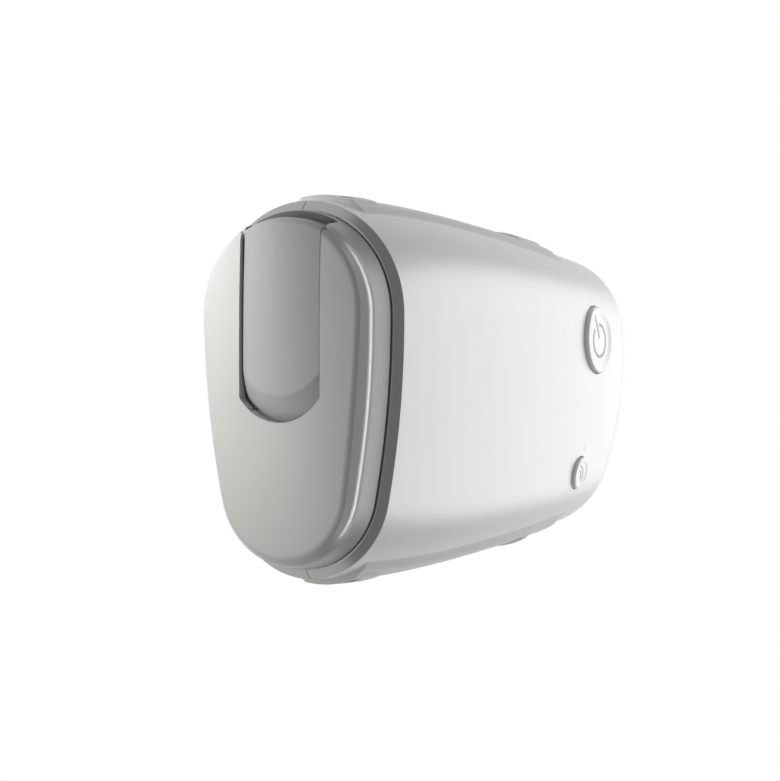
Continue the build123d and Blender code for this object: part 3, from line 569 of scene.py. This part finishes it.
def apply_tree(carrier, tree, identifiers, values, name):
    """Runs a tree on a carrier object once, and gives its result as a plain mesh object."""
    modifier = carrier.modifiers.new(tree.name, "NODES")
    modifier.node_group = tree
    for label, value in values.items():
        modifier[identifiers[label]] = value
    graph = bpy.context.evaluated_depsgraph_get()
    mesh = bpy.data.meshes.new_from_object(carrier.evaluated_get(graph), depsgraph=graph)
    mesh.name = name
    carrier.modifiers.clear()
    bpy.data.objects.remove(carrier)
    return new_object(name, mesh)


def sweep(name, path, profile, material, turn=(0, 0, 0), place=(0, 0, 0)):
    """A closed profile swept along a path by the sweep tree."""
    tree, identifiers = sweep_tree()
    values = {"Profile": profile, "Turn": turn, "Place": place, "Material": material}
    made = apply_tree(path, tree, identifiers, values, name)
    bpy.data.objects.remove(profile)
    return made


def shade(piece, sharpest=35):
    """Smooth shading, with edges sharper than an angle in degrees kept crisp."""
    mesh = piece.data
    work = bmesh.new()
    work.from_mesh(mesh)
    bmesh.ops.remove_doubles(work, verts=work.verts, dist=1e-7)
    bmesh.ops.recalc_face_normals(work, faces=work.faces)
    for edge in work.edges:
        edge.smooth = len(edge.link_faces) == 2 and edge.calc_face_angle() < radians(sharpest)
    for face in work.faces:
        face.smooth = True
    work.to_mesh(mesh)
    work.free()


# ---------------------------------------------------------------- operators


class CPAP_OT_stage(Operator):
    """White floor, soft lights and the camera"""

    bl_idname = "cpap.stage"
    bl_label = "Stage"

    def execute(self, context):
        stage = context.scene.cpap_stage
        make_floor()
        make_lights(stage)
        make_camera(context.scene, stage)
        return {"FINISHED"}


def make_floor():
    """A wide white floor that shows as plain white to the camera and still takes a shadow."""
    half = 6.0
    corners = [(-half, -half, 0), (half, -half, 0), (half, half, 0), (-half, half, 0)]
    mesh = bpy.data.meshes.new("floor")
    mesh.from_pydata(corners, [], [(0, 1, 2, 3)])
    floor = new_object("floor", mesh)
    paper = bpy.data.materials.new("white_paper")
    paper.use_nodes = True
    tree = paper.node_tree
    tree.nodes.clear()
    matt = add_node(tree, "ShaderNodeBsdfDiffuse", {"Color": (*linear("E6E6E6"), 1)})
    glow = add_node(tree, "ShaderNodeEmission", {"Color": (1, 1, 1, 1), "Strength": 1.0})
    rays = add_node(tree, "ShaderNodeLightPath")
    shown = rays.outputs["Is Camera Ray"]
    for ray in ("Is Glossy Ray", "Is Transmission Ray"):
        either = add_node(tree, "ShaderNodeMath", {"operation": "MAXIMUM"})
        tree.links.new(shown, either.inputs[0])
        tree.links.new(rays.outputs[ray], either.inputs[1])
        shown = either.outputs["Value"]
    mix = add_node(tree, "ShaderNodeMixShader", {}, {"Fac": shown})
    tree.links.new(matt.outputs["BSDF"], mix.inputs[1])
    tree.links.new(glow.outputs["Emission"], mix.inputs[2])
    add_node(tree, "ShaderNodeOutputMaterial", links={"Surface": mix.outputs["Shader"]})
    mesh.materials.append(paper)


def make_area_light(name, place, target, width, height, power, seen_by="both"):
    """A soft rectangular light facing a target, seen by diffuse surfaces, glossy ones or both."""
    lamp = bpy.data.lights.new(name, "AREA")
    lamp.shape, lamp.size, lamp.size_y, lamp.energy = "RECTANGLE", width, height, power
    made = new_object(name, lamp)
    made.location = place
    made.rotation_euler = (Vector(target) - Vector(place)).to_track_quat("-Z", "Y").to_euler()
    made.visible_camera = False
    made.visible_glossy = seen_by != "diffuse"
    made.visible_diffuse = seen_by != "glossy"
    return made


def make_lights(stage):
    """Soft lights behind the outlet end and low before the cap, strips overhead, a surround.

    The strips light the cap alone, whose edge and wall mirror them.
    """
    middle, cap_foot, cap_face = (0, 0, 0.04), (-0.066, 0, 0.002), (-0.06, 0, 0.04)
    low_place, strip_length = (-0.098, 0.01, 0.003), 2.4
    make_area_light("high_light", (0.4, 0.0, 0.2), middle, 0.4, 0.3, stage.high_power)
    make_area_light("low_light", low_place, cap_foot, 0.12, 0.01, stage.low_power, "diffuse")
    cap_only = bpy.data.collections.new("lit_by_strips")
    cap_only.objects.link(bpy.data.objects["end_cap"])
    for name, place, width, power in (
        ("edge_light", (0.0, 0, 0.62), 0.1, stage.edge_power),
        ("wall_light", (0.45, 0, 0.55), 0.25, stage.wall_power),
    ):
        strip = make_area_light(name, place, cap_face, strip_length, width, power, "glossy")
        strip.light_linking.receiver_collection = cap_only
    world = bpy.data.worlds.new("studio")
    world.use_nodes = True
    tree = world.node_tree
    tree.nodes.clear()
    light = add_node(
        tree, "ShaderNodeBackground", {"Color": (1, 1, 1, 1), "Strength": stage.surround}
    )
    add_node(tree, "ShaderNodeOutputWorld", links={"Surface": light.outputs["Background"]})
    bpy.context.scene.world = world


def make_camera(scene, stage):
    """The camera, looking along the machine from the cap end, with +Y upwards in the picture."""
    tilt, roll = stage.camera_elevation, stage.camera_roll
    forward = Vector((cos(tilt), 0, -sin(tilt)))
    across, upward = Vector((sin(tilt), 0, cos(tilt))), Vector((0, 1, 0))
    right = cos(roll) * across + sin(roll) * upward
    up = -sin(roll) * across + cos(roll) * upward
    rim_top = Vector((MOUTH_X, -0.3, 48.12)) * MM
    place = rim_top - forward * stage.camera_distance
    data = bpy.data.cameras.new("camera")
    data.lens, data.sensor_width, data.sensor_fit = stage.lens, 36.0, "HORIZONTAL"
    data.clip_start, data.clip_end = 0.05, 20.0
    made = new_object("camera", data)
    turn = Matrix((right, up, -forward)).transposed().to_4x4()
    made.matrix_world = Matrix.Translation(place) @ turn
    scene.camera = made
    scene.view_settings.view_transform = "Standard"


class CPAP_OT_trim_ring(Operator):
    """The two halves of the trim ring round the mouth, swept along its egg"""

    bl_idname = "cpap.trim_ring"
    bl_label = "Trim ring"

    def execute(self, context):
        sizes = context.scene.cpap_sizes
        depth, slope = sizes.ring_depth / MM, sizes.ring_slope / MM
        inner, inset = sizes.ring_width / MM, 0.02
        corners = [(-inset, 0.0, 0), (-slope, depth, 0.5), (-inner, depth, 0.15), (-inner, 0.0, 0)]
        outline = rounded_outline(corners)
        turn = Matrix(((0, 0, 1), (1, 0, 0), (0, 1, 0))).to_euler()
        joint, steps = 0.001, 200
        for name, start in (("ring_upper", 0), ("ring_lower", 1)):
            turns = [start + joint + (1 - 2 * joint) * k / steps for k in range(steps + 1)]
            path = [egg_point(MOUTH, 0, at)[0] for at in turns]
            ring = sweep(
                f"trim_{name}",
                make_curve("ring_path", [(y * MM, z * MM, 0) for y, z in path], closed=False),
                make_curve("ring_profile", [(a * MM, b * MM, 0) for a, b in outline], closed=True),
                FINISHES["ring_plastic"],
                turn=turn,
                place=(MOUTH_X * MM, 0, AXIS_HEIGHT * MM),
            )
            shade(ring)
            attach(ring, "case")
            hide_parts(name)
        return {"FINISHED"}


Spot = namedtuple("Spot", "centre inwards radius skirt stem")
START_BUTTON = Spot((43.5, 11.0, 42.6712), (-0.136338, -0.01425, -0.99056), 7.75, 3.3, 4.49)
CONNECT_BUTTON = Spot((37.7, -19.8, 40.7043), (-0.124477, 0.197115, -0.972446), 3.75, 2.85, 3.7)


def spot_frame(spot):
    """A frame on a button: its third axis out of the case, its first along the machine."""
    out = -Vector(spot.inwards).normalized()
    along = Vector((out.z, 0, -out.x)).normalized()
    across = out.cross(along)
    turn = Matrix((along, across, out)).transposed().to_4x4()
    return Matrix.Translation(Vector(spot.centre) * MM) @ turn


def height_over(piece, place):
    """A function for how high a piece's surface stands over a point of a frame."""
    back, above = place.inverted(), 10 * MM
    tree = BVHTree.FromPolygons(
        [back @ vertex.co for vertex in piece.data.vertices],
        [tuple(face.vertices) for face in piece.data.polygons],
    )

    def height(x, y):
        return tree.ray_cast(Vector((x, y, above)), Vector((0, 0, -1)))[0].z

    return height


def make_button(node, spot, rounding, lip_start, lip_height):
    """A push button as one form: crowned like the case, with a raised lip and a soft edge."""
    place = spot_frame(spot)
    height = height_over(frame["nodes"][node], place)
    around, edge_steps, flat_steps = 96, 8, 24
    directions = [(cos(2 * pi * k / around), sin(2 * pi * k / around)) for k in range(around)]
    flat = spot.radius - rounding
    rings = [(flat * k / flat_steps, 0.0) for k in range(1, flat_steps)]
    for step in range(edge_steps + 1):
        turn = pi / 2 * step / edge_steps
        rings.append((flat + rounding * sin(turn), rounding * (1 - cos(turn))))
    sample, lip_end, inward = spot.radius - 0.7, spot.radius - 0.5, 0.9
    vertices = [place @ Vector((0, 0, height(0, 0)))]
    for ring, drop in rings:
        lip = lip_height * soft_step(ring, lip_start, lip_end) - drop
        for x, y in directions:
            near = min(ring, sample) * MM
            top = height(x * near, y * near)
            if ring > sample:
                before = height(x * near * inward, y * near * inward)
                slope = (top - before) / (near * (1 - inward))
                top += slope * (ring - sample) * MM
            vertices.append(place @ Vector((x * ring * MM, y * ring * MM, top + lip * MM)))
    flange, stem_radius = 0.8, 1.2
    flange_radius, flange_end = spot.radius + flange, -spot.skirt - flange
    for ring, level in (
        (spot.radius, -spot.skirt),
        (flange_radius, -spot.skirt),
        (flange_radius, flange_end),
        (stem_radius, flange_end),
        (stem_radius, -spot.stem),
    ):
        for x, y in directions:
            vertices.append(place @ Vector((x * ring * MM, y * ring * MM, level * MM)))
    faces = [(0, 1 + k, 1 + (k + 1) % around) for k in range(around)]
    loops = (len(vertices) - 1) // around
    for loop in range(loops - 1):
        low, high = 1 + loop * around, 1 + (loop + 1) * around
        for k in range(around):
            after = (k + 1) % around
            faces.append((low + k, high + k, high + after, low + after))
    faces.append(tuple(1 + (loops - 1) * around + k for k in range(around)))
    mesh = bpy.data.meshes.new(f"pressed_{node}")
    mesh.from_pydata(vertices, [], faces)
    made = new_object(f"pressed_{node}", mesh)
    shade(made)
    return made


def make_mark(name, button, spot, line, width, finish):
    """A thin raised line on a button: its points are given in millimetres on the button."""
    place = spot_frame(spot)
    height = height_over(button, place)
    path = [(x * MM, y * MM, height(x * MM, y * MM)) for x, y in line]
    half, proud, sunk = width / 2 * MM, 0.03 * MM, 0.1 * MM
    section = [(-half, -proud), (half, -proud), (half, sunk), (-half, sunk)]
    return sweep(
        name,
        make_curve(f"{name}_path", path, closed=False),
        make_curve(f"{name}_profile", [(x, y, 0) for x, y in section], closed=True),
        finish,
        turn=place.to_euler(),
        place=place.to_translation(),
    )


CAP_FACE_X = -68.0
COVER_FOOT_X, COVER_TAIL_X, COVER_PLATE_X, COVER_WALL = -64.95, -60.3, -66.0, 0.9
COVER_TAIL_Y, COVER_EDGE = 32.4, 0.15  # where the cover steps down, and its thinnest edge
HOLLOW_SIDE, HOLLOW_LOW, HOLLOW_HIGH = 1.1, -3.3, 33.0  # the hollow's side wall and its ends
COVER_END_CENTRE, COVER_END_RADIUS = 5.4, 11.9
COVER_FAT_Y, COVER_FAT_RADIUS = 16.3, 20.8


def soft_max(first, second, blend):
    """The larger of two numbers, with a soft passage where they are nearly equal."""
    apart = max(blend - abs(first - second), 0) / blend
    return max(first, second) + apart * apart * blend / 4


def cover_front(y, z):
    """Depth of the cover's front: a crown along the dome, the thumb scoop, the cap's bevel."""
    dome_centre_x, dome_reach, crown = 432.1, 440.0, 60.0
    crown_x = dome_centre_x - sqrt((dome_reach + sqrt(crown**2 - z**2)) ** 2 - y**2)
    scoop_radius, scoop_y, scoop_slope = 8.7, 7.7, 1.85
    reach = sqrt(min(y - scoop_y, 0) ** 2 + z**2)
    scoop_x = CAP_FACE_X + (reach - scoop_radius) / scoop_slope
    scoop_blend, bevel_blend = 0.14, 0.9
    front = soft_max(crown_x, scoop_x, scoop_blend)
    bevel_x, bevel_radius, bevel_slope = -64.4, 21.65, 0.74
    reach = sqrt(max(y - COVER_FAT_Y, 0) ** 2 + z**2)
    return soft_max(front, bevel_x - (bevel_radius - reach) / bevel_slope, bevel_blend)


class CPAP_OT_sliding_cover(Operator):
    """The cover that slides in the cap's channel: crowned, soft-edged, with its thumb scoop"""

    bl_idname = "cpap.sliding_cover"
    bl_label = "Sliding cover"

    def execute(self, context):
        sizes = context.scene.cpap_sizes
        half, rounding = sizes.cover_half_width / MM, sizes.cover_rounding / MM
        columns, rows = 73, 171
        front, back = [], []
        for row in range(rows):
            share = (1 - cos(pi * row / (rows - 1))) / 2
            front_row, back_row = [], []
            for column in range(columns):
                z = half * sin(pi / 2 * (2 * column / (columns - 1) - 1))
                low = COVER_END_CENTRE - sqrt(COVER_END_RADIUS**2 - z**2)
                high = COVER_FAT_Y + sqrt(COVER_FAT_RADIUS**2 - z**2)
                y = low + (high - low) * share
                inside = min(half - abs(z), high - y)
                if y < COVER_END_CENTRE:
                    from_centre = sqrt((y - COVER_END_CENTRE) ** 2 + z**2)
                    inside = min(inside, COVER_END_RADIUS - from_centre)
                x = cover_front(y, z)
                if inside < rounding:
                    x += rounding - sqrt(max(rounding**2 - (rounding - inside) ** 2, 0))
                under = COVER_FOOT_X if y < COVER_TAIL_Y else COVER_TAIL_X
                if abs(z) < half - HOLLOW_SIDE and HOLLOW_LOW < y < HOLLOW_HIGH:
                    under = min(max(COVER_PLATE_X, x + COVER_WALL), COVER_FOOT_X)
                front_row.append((min(x, under - COVER_EDGE), y, AXIS_HEIGHT + z))
                back_row.append((under, y, AXIS_HEIGHT + z))
            front.append(front_row)
            back.append(back_row)
        cover = double_sheet("sliding_cover", front, back)
        shade(cover, sharpest=40)
        cover.data.materials.append(FINISHES["cover_plastic"])
        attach(cover, "filter_cover")
        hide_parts("filter_cover")
        # The dark lip at the cover's end is painted shade for the shaded intake gap under it.
        seal = make_painted_shade_lip(half)
        seal.data.materials.append(FINISHES["seal_rubber"])
        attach(seal, "filter_cover")
        return {"FINISHED"}


def make_painted_shade_lip(half):
    """A soft lip across the cover's open end, which closes it up to the trim ring; its dark grey
    is painted shade for the shade of a deep intake gap.
    """
    near, far, front, rounding = 20.7, 22.3, -61.4, 0.35
    reach_steps, half_steps, half_length = 12, 24, half - 0.1
    outer, inner = [], []
    for row in range(reach_steps + 1):
        reach = near + (far - near) * row / reach_steps
        outer_row, inner_row = [], []
        for column in range(2 * half_steps + 1):
            z = half_length * (column / half_steps - 1)
            y = COVER_FAT_Y + sqrt(reach**2 - z**2)
            edge = min(reach - near, far - reach, half_length - abs(z), rounding)
            x = front + rounding - sqrt(rounding**2 - (rounding - edge) ** 2)
            outer_row.append((x, y, AXIS_HEIGHT + z))
            inner_row.append((COVER_TAIL_X, y, AXIS_HEIGHT + z))
        outer.append(outer_row)
        inner.append(inner_row)
    seal = double_sheet("cover_end_seal", outer, inner)
    shade(seal)
    return seal


RAIL_LOW, RAIL_HIGH = -10.0, 12.0
RAIL_START, RAIL_END, RAIL_SUNK = -52.2, 41.0, 0.78
PAD_LOW, PAD_HIGH = -6.0, 9.4
NEAR_PAD = (-51.9, -39.0)
FAR_PADS = {"side_rail_back": (25.0, 37.0), "side_rail_front": (25.0, 29.6)}
POCKET_X, POCKET_UP = (-50.2, -46.0), (2.9, 7.0)
RAIL_SOFT = (1.6, 2.2)  # widths of the soft rise at the ends and along the edges of a rail
PAD_SOFT, POCKET_SOFT = (1.3, 1.5), (0.3, 0.4)


def rail_point(x, up, rise, side):
    """A point over a long side of the housing, at a height above its parting line and surface."""
    centre_y, centre_z, egg = housing_at(x)
    radius = egg.fat_radius if side > 0 else egg.thin_radius
    middle = centre_y + side * (egg.half_width - radius)
    z = AXIS_HEIGHT - (x - MOUTH_X) * PARTING_DROP + up
    return x, middle + side * sqrt((radius + rise) ** 2 - (z - centre_z) ** 2), z


def plateau(value, ends, soft):
    """1 between two ends and 0 outside them, with a soft rise and fall inside them."""
    start, end = ends
    return soft_step(value, start, start + soft) * (1 - soft_step(value, end - soft, end))


class CPAP_OT_side_rails(Operator):
    """The two raised rails, which swell softly out of the case, with pads and a latch pocket"""

    bl_idname = "cpap.side_rails"
    bl_label = "Side rails"

    def execute(self, context):
        sizes = context.scene.cpap_sizes
        proud, pad = sizes.rail_proud / MM, sizes.pad_proud / MM
        pocket = sizes.pocket_depth / MM
        fine_step, fine_count, coarse_count, up_count = 0.12, 120, 200, 100
        places = [RAIL_START + fine_step * k for k in range(fine_count)]
        rest = RAIL_END - places[-1]
        places += [places[-1] + rest * k / coarse_count for k in range(1, coarse_count + 1)]
        ups = [RAIL_LOW + (RAIL_HIGH - RAIL_LOW) * k / up_count for k in range(up_count + 1)]
        for node, side in (("side_rail_back", 1), ("side_rail_front", -1)):
            outer, inner = [], []
            for x in places:
                ends = plateau(x, (RAIL_START, RAIL_END), RAIL_SOFT[0])
                pads = max(plateau(x, pad_x, PAD_SOFT[0]) for pad_x in (NEAR_PAD, FAR_PADS[node]))
                in_pocket = plateau(x, POCKET_X, POCKET_SOFT[0])
                outer_row = []
                for up in ups:
                    rise = proud * ends * plateau(up, (RAIL_LOW, RAIL_HIGH), RAIL_SOFT[1])
                    rise += (pad - proud) * plateau(up, (PAD_LOW, PAD_HIGH), PAD_SOFT[1]) * pads
                    rise -= pocket * in_pocket * plateau(up, POCKET_UP, POCKET_SOFT[1])
                    outer_row.append(rail_point(x, up, rise, side))
                outer.append(outer_row)
                inner.append([rail_point(x, up, -RAIL_SUNK, side) for up in ups])
            rail = double_sheet(f"soft_{node}", outer, inner)
            shade(rail, sharpest=50)
            rail.data.materials.append(FINISHES["rail_plastic"])
            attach(rail, "case")
            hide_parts(node)
            # A dark sheet in each pocket: painted shade for the shadow inside it.
            painted_shade_liner = make_painted_shade_liner(node, side, pad - pocket)
            painted_shade_liner.data.materials.append(FINISHES["foot_rubber"])
            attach(painted_shade_liner, "case")
        return {"FINISHED"}


def make_painted_shade_liner(node, side, floor):
    """A thin dark sheet on the floor of a rail's pocket: painted shade for the shadow inside the
    pocket.
    """
    gap_x, gap_up, clear, thickness, soft_edge, swell = 0.35, 0.45, 0.02, 0.1, 0.3, 0.5
    start_x, end_x = POCKET_X[0] + gap_x, POCKET_X[1] - gap_x
    start_up, end_up = POCKET_UP[0] + gap_up, POCKET_UP[1] - gap_up
    outer, inner, steps = [], [], 12
    for row in range(steps + 1):
        x = start_x + (end_x - start_x) * row / steps
        ups = [start_up + (end_up - start_up) * k / steps for k in range(steps + 1)]
        outer_row = []
        for up in ups:
            edge = min(x - start_x, end_x - x, up - start_up, end_up - up, soft_edge)
            outer_row.append(rail_point(x, up, floor + clear + thickness + edge * swell, side))
        outer.append(outer_row)
        inner.append([rail_point(x, up, floor + clear, side) for up in ups])
    painted_shade_liner = double_sheet(f"{node}_liner", outer, inner)
    shade(painted_shade_liner)
    return painted_shade_liner


def arc(centre, radius, start, end, count):
    """Points along an arc, its ends in degrees."""
    turns = [radians(start + (end - start) * k / (count - 1)) for k in range(count)]
    return [(centre[0] + radius * cos(t), centre[1] + radius * sin(t)) for t in turns]


class CPAP_OT_buttons(Operator):
    """The two push buttons and the plain raised signs on them"""

    bl_idname = "cpap.buttons"
    bl_label = "Buttons"

    def execute(self, context):
        sizes = context.scene.cpap_sizes
        rounding, lip = sizes.button_rounding / MM, sizes.button_lip / MM
        line, turn = sizes.mark_width / MM, radians(23)
        up, side = Vector((-sin(turn), cos(turn))), Vector((cos(turn), sin(turn)))
        small_lip, small_line, stroke_start, stroke_step = 0.5, 0.6, 0.4, 0.3
        start = make_button("start_button", START_BUTTON, rounding, lip_start=4.9, lip_height=lip)
        connect = make_button(
            "connect_button", CONNECT_BUTTON, rounding, lip_start=2.2, lip_height=lip * small_lip
        )
        power_ring = arc((-0.1, -0.2), radius=3.7, start=137, end=449, count=80)
        stroke = [(up * (stroke_start + stroke_step * k))[:] for k in range(20)]
        wave_centre = (side * -1.5)[:]
        waves = [arc(wave_centre, reach, start=-32, end=78, count=30) for reach in (1.2, 2.3)]
        marks = [
            ("start_sign_ring", start, START_BUTTON, power_ring, "start_button"),
            ("start_sign_stroke", start, START_BUTTON, stroke, "start_button"),
            ("connect_sign_inner", connect, CONNECT_BUTTON, waves[0], "connect_button"),
            ("connect_sign_outer", connect, CONNECT_BUTTON, waves[1], "connect_button"),
        ]
        for name, button, spot, points, body in marks:
            wide = line if body == "start_button" else line * small_line
            mark = make_mark(name, button, spot, points, wide, FINISHES["sign_print"])
            shade(mark)
            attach(mark, body)
        for button, node in ((start, "start_button"), (connect, "connect_button")):
            button.data.materials.append(FINISHES["button_plastic"])
            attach(button, node)
            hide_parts(node)
        return {"FINISHED"}


def turned_tree():
    """Turns a profile about an axis, cuts a socket into its end, and sets one at every point."""
    tree, given, identifiers = new_tree(
        "turned_and_set",
        [
            ("Geometry", "NodeSocketGeometry"),
            ("Profile", "NodeSocketObject"),
            ("Path radius", "NodeSocketFloat"),
            ("Socket sides", "NodeSocketInt"),
            ("Socket radius", "NodeSocketFloat"),
            ("Socket depth", "NodeSocketFloat"),
            ("Socket place", "NodeSocketVector"),
            ("Material", "NodeSocketMaterial"),
        ],
    )
    turn_steps, merge_reach = 48, 0.005 * MM
    circle = add_node(
        tree,
        "GeometryNodeCurvePrimitiveCircle",
        {"Resolution": turn_steps},
        {"Radius": given.outputs["Path radius"]},
    )
    turned = add_sweep(tree, circle.outputs["Curve"], given.outputs["Profile"], caps=False)
    joined = add_node(
        tree, "GeometryNodeMergeByDistance", {"Distance": merge_reach}, {"Geometry": turned}
    )
    cutter = add_node(
        tree,
        "GeometryNodeMeshCylinder",
        links={
            "Vertices": given.outputs["Socket sides"],
            "Radius": given.outputs["Socket radius"],
            "Depth": given.outputs["Socket depth"],
        },
    )
    placed = add_node(
        tree,
        "GeometryNodeTransform",
        links={"Geometry": cutter.outputs["Mesh"], "Translation": given.outputs["Socket place"]},
    )
    cut = add_node(
        tree,
        "GeometryNodeMeshBoolean",
        {"operation": "DIFFERENCE"},
        {"Mesh 1": joined.outputs["Geometry"], "Mesh 2": placed.outputs["Geometry"]},
    )
    spread = add_node(
        tree,
        "GeometryNodeInstanceOnPoints",
        links={"Points": given.outputs["Geometry"], "Instance": cut.outputs["Mesh"]},
    )
    end_tree(tree, given, spread.outputs["Instances"])
    return tree, identifiers


FOOT_PLACES = [(-40.0, 17.0), (-40.0, -17.0), (42.0, 13.0), (42.0, -13.0)]
SCREW_PLACES = [(-44.5, 29.5), (-44.5, -28.0), (22.0, 27.0), (22.0, -25.5)]


Socket = namedtuple("Socket", "sides radius depth level")
FOOT_DIMPLE = Socket(24, 0.9, 0.5, 0.0)
SCREW_SOCKET = Socket(6, 1.27, 1.8, 9.4)
FOOT_RADIUS, FOOT_TOP, FOOT_ROUNDING = 5.0, 6.4, 0.7
HEAD_RADIUS, HEAD_TOP, HEAD_ROUNDING = 2.5, 11.0, 0.3
THREAD_START, THREAD_PITCH, THREAD_TURNS = 14.0, 0.8, 22
CORE_RADIUS, THREAD_RADIUS, TIP_RADIUS, TIP_LEVEL = 1.0, 1.28, 0.6, 32.0


def soft_edge(radius, level, rounding):
    """The rounded lower edge of a turned piece, as radius and height."""
    turns = [radians(degrees) for degrees in range(0, 91, 15)]
    centre, height = radius - rounding, level + rounding
    return [(centre + rounding * sin(t), height - rounding * cos(t)) for t in turns]


def foot_profile():
    """Radius and height of a foot from its middle outwards: grip grooves, soft edge, plug."""
    points, deep, mouth, bottom = [(0.0, 0.0)], 0.3, 0.3, 0.2
    for groove in (2.0, 3.2):
        points += [(groove - mouth, 0.0), (groove - bottom, deep)]
        points += [(groove + bottom, deep), (groove + mouth, 0.0)]
    points += soft_edge(FOOT_RADIUS, 0.0, FOOT_ROUNDING)
    return points + [(FOOT_RADIUS, FOOT_TOP), (0.0, FOOT_TOP)]


def screw_profile():
    """Radius and height of a screw, from its head up along its thread to its tip."""
    head, plain_end = SCREW_SOCKET.level, THREAD_START - THREAD_PITCH / 2
    points = [(0.0, head), *soft_edge(HEAD_RADIUS, head, HEAD_ROUNDING)]
    points += [(HEAD_RADIUS, HEAD_TOP), (THREAD_RADIUS, HEAD_TOP), (THREAD_RADIUS, plain_end)]
    for turn in range(THREAD_TURNS):
        root = THREAD_START + turn * THREAD_PITCH
        points += [(CORE_RADIUS, root), (THREAD_RADIUS, root + THREAD_PITCH / 2)]
    return points + [(TIP_RADIUS, TIP_LEVEL), (0.0, TIP_LEVEL)]


class CPAP_OT_underside(Operator):
    """The four rubber feet, and the four screws that hold the shells together"""

    bl_idname = "cpap.underside"
    bl_label = "Feet and screws"

    def execute(self, context):
        feet = ("feet", "rubber_feet", FOOT_PLACES, foot_profile(), FOOT_DIMPLE, "foot_rubber")
        screws = (
            "case_screws", "socket_screws", SCREW_PLACES, screw_profile(), SCREW_SOCKET, "steel"
        )
        path_radius = 1.0
        for node, name, places, points, socket, slot in (feet, screws):
            mesh = bpy.data.meshes.new(f"{name}_places")
            mesh.from_pydata([(x * MM, y * MM, 0) for x, y in places], [], [])
            carrier = new_object(f"{name}_places", mesh)
            outline = [((r - path_radius) * MM, -z * MM, 0) for r, z in reversed(points)]
            profile = make_curve(f"{name}_profile", outline, closed=True)
            tree, identifiers = turned_tree()
            values = {
                "Profile": profile,
                "Path radius": path_radius * MM,
                "Socket sides": socket.sides,
                "Socket radius": socket.radius * MM,
                "Socket depth": socket.depth * MM,
                "Socket place": (0, 0, socket.level * MM),
                "Material": FINISHES[slot],
            }
            made = apply_tree(carrier, tree, identifiers, values, name)
            bpy.data.objects.remove(profile)
            shade(made)
            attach(made, "case")
            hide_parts(node)
        return {"FINISHED"}


class CPAP_OT_finishes(Operator):
    """Finish of every piece that keeps its own shape"""

    bl_idname = "cpap.finishes"
    bl_label = "Finishes"

    def execute(self, context):
        FINISHES.update(make_finishes(context.scene.cpap_colours))
        for part in frame["record"]["subparts"]:
            piece = frame["nodes"][part["node"]]
            piece.data.materials.clear()
            piece.data.materials.append(FINISHES[part["material_slot"]])
        return {"FINISHED"}


class CPAP_PT_panel(Panel):
    bl_idname = "CPAP_PT_panel"
    bl_label = "Travel CPAP machine"
    bl_space_type = "VIEW_3D"
    bl_region_type = "UI"
    bl_category = "CPAP"

    def draw(self, context):
        scene = context.scene
        for settings in (scene.cpap_colours, scene.cpap_sizes, scene.cpap_stage):
            for name in settings.__annotations__:
                self.layout.prop(settings, name)
        for operator in OPERATORS:
            self.layout.operator(operator.bl_idname)


OPERATORS = (
    CPAP_OT_stage,
    CPAP_OT_finishes,
    CPAP_OT_trim_ring,
    CPAP_OT_sliding_cover,
    CPAP_OT_side_rails,
    CPAP_OT_buttons,
    CPAP_OT_underside,
)
CLASSES = (CPAP_PG_colours, CPAP_PG_sizes, CPAP_PG_stage, *OPERATORS, CPAP_PT_panel)


def register():
    for each in CLASSES:
        bpy.utils.register_class(each)
    bpy.types.Scene.cpap_colours = PointerProperty(type=CPAP_PG_colours)
    bpy.types.Scene.cpap_sizes = PointerProperty(type=CPAP_PG_sizes)
    bpy.types.Scene.cpap_stage = PointerProperty(type=CPAP_PG_stage)


def unregister():
    del bpy.types.Scene.cpap_stage
    del bpy.types.Scene.cpap_sizes
    del bpy.types.Scene.cpap_colours
    for each in reversed(CLASSES):
        bpy.utils.unregister_class(each)


def main():
    """Builds everything in order."""
    register()
    bpy.ops.cpap.stage()
    bpy.ops.cpap.finishes()
    bpy.ops.cpap.trim_ring()
    bpy.ops.cpap.sliding_cover()
    bpy.ops.cpap.side_rails()
    bpy.ops.cpap.buttons()
    bpy.ops.cpap.underside()


if __name__ == "__main__":
    main()
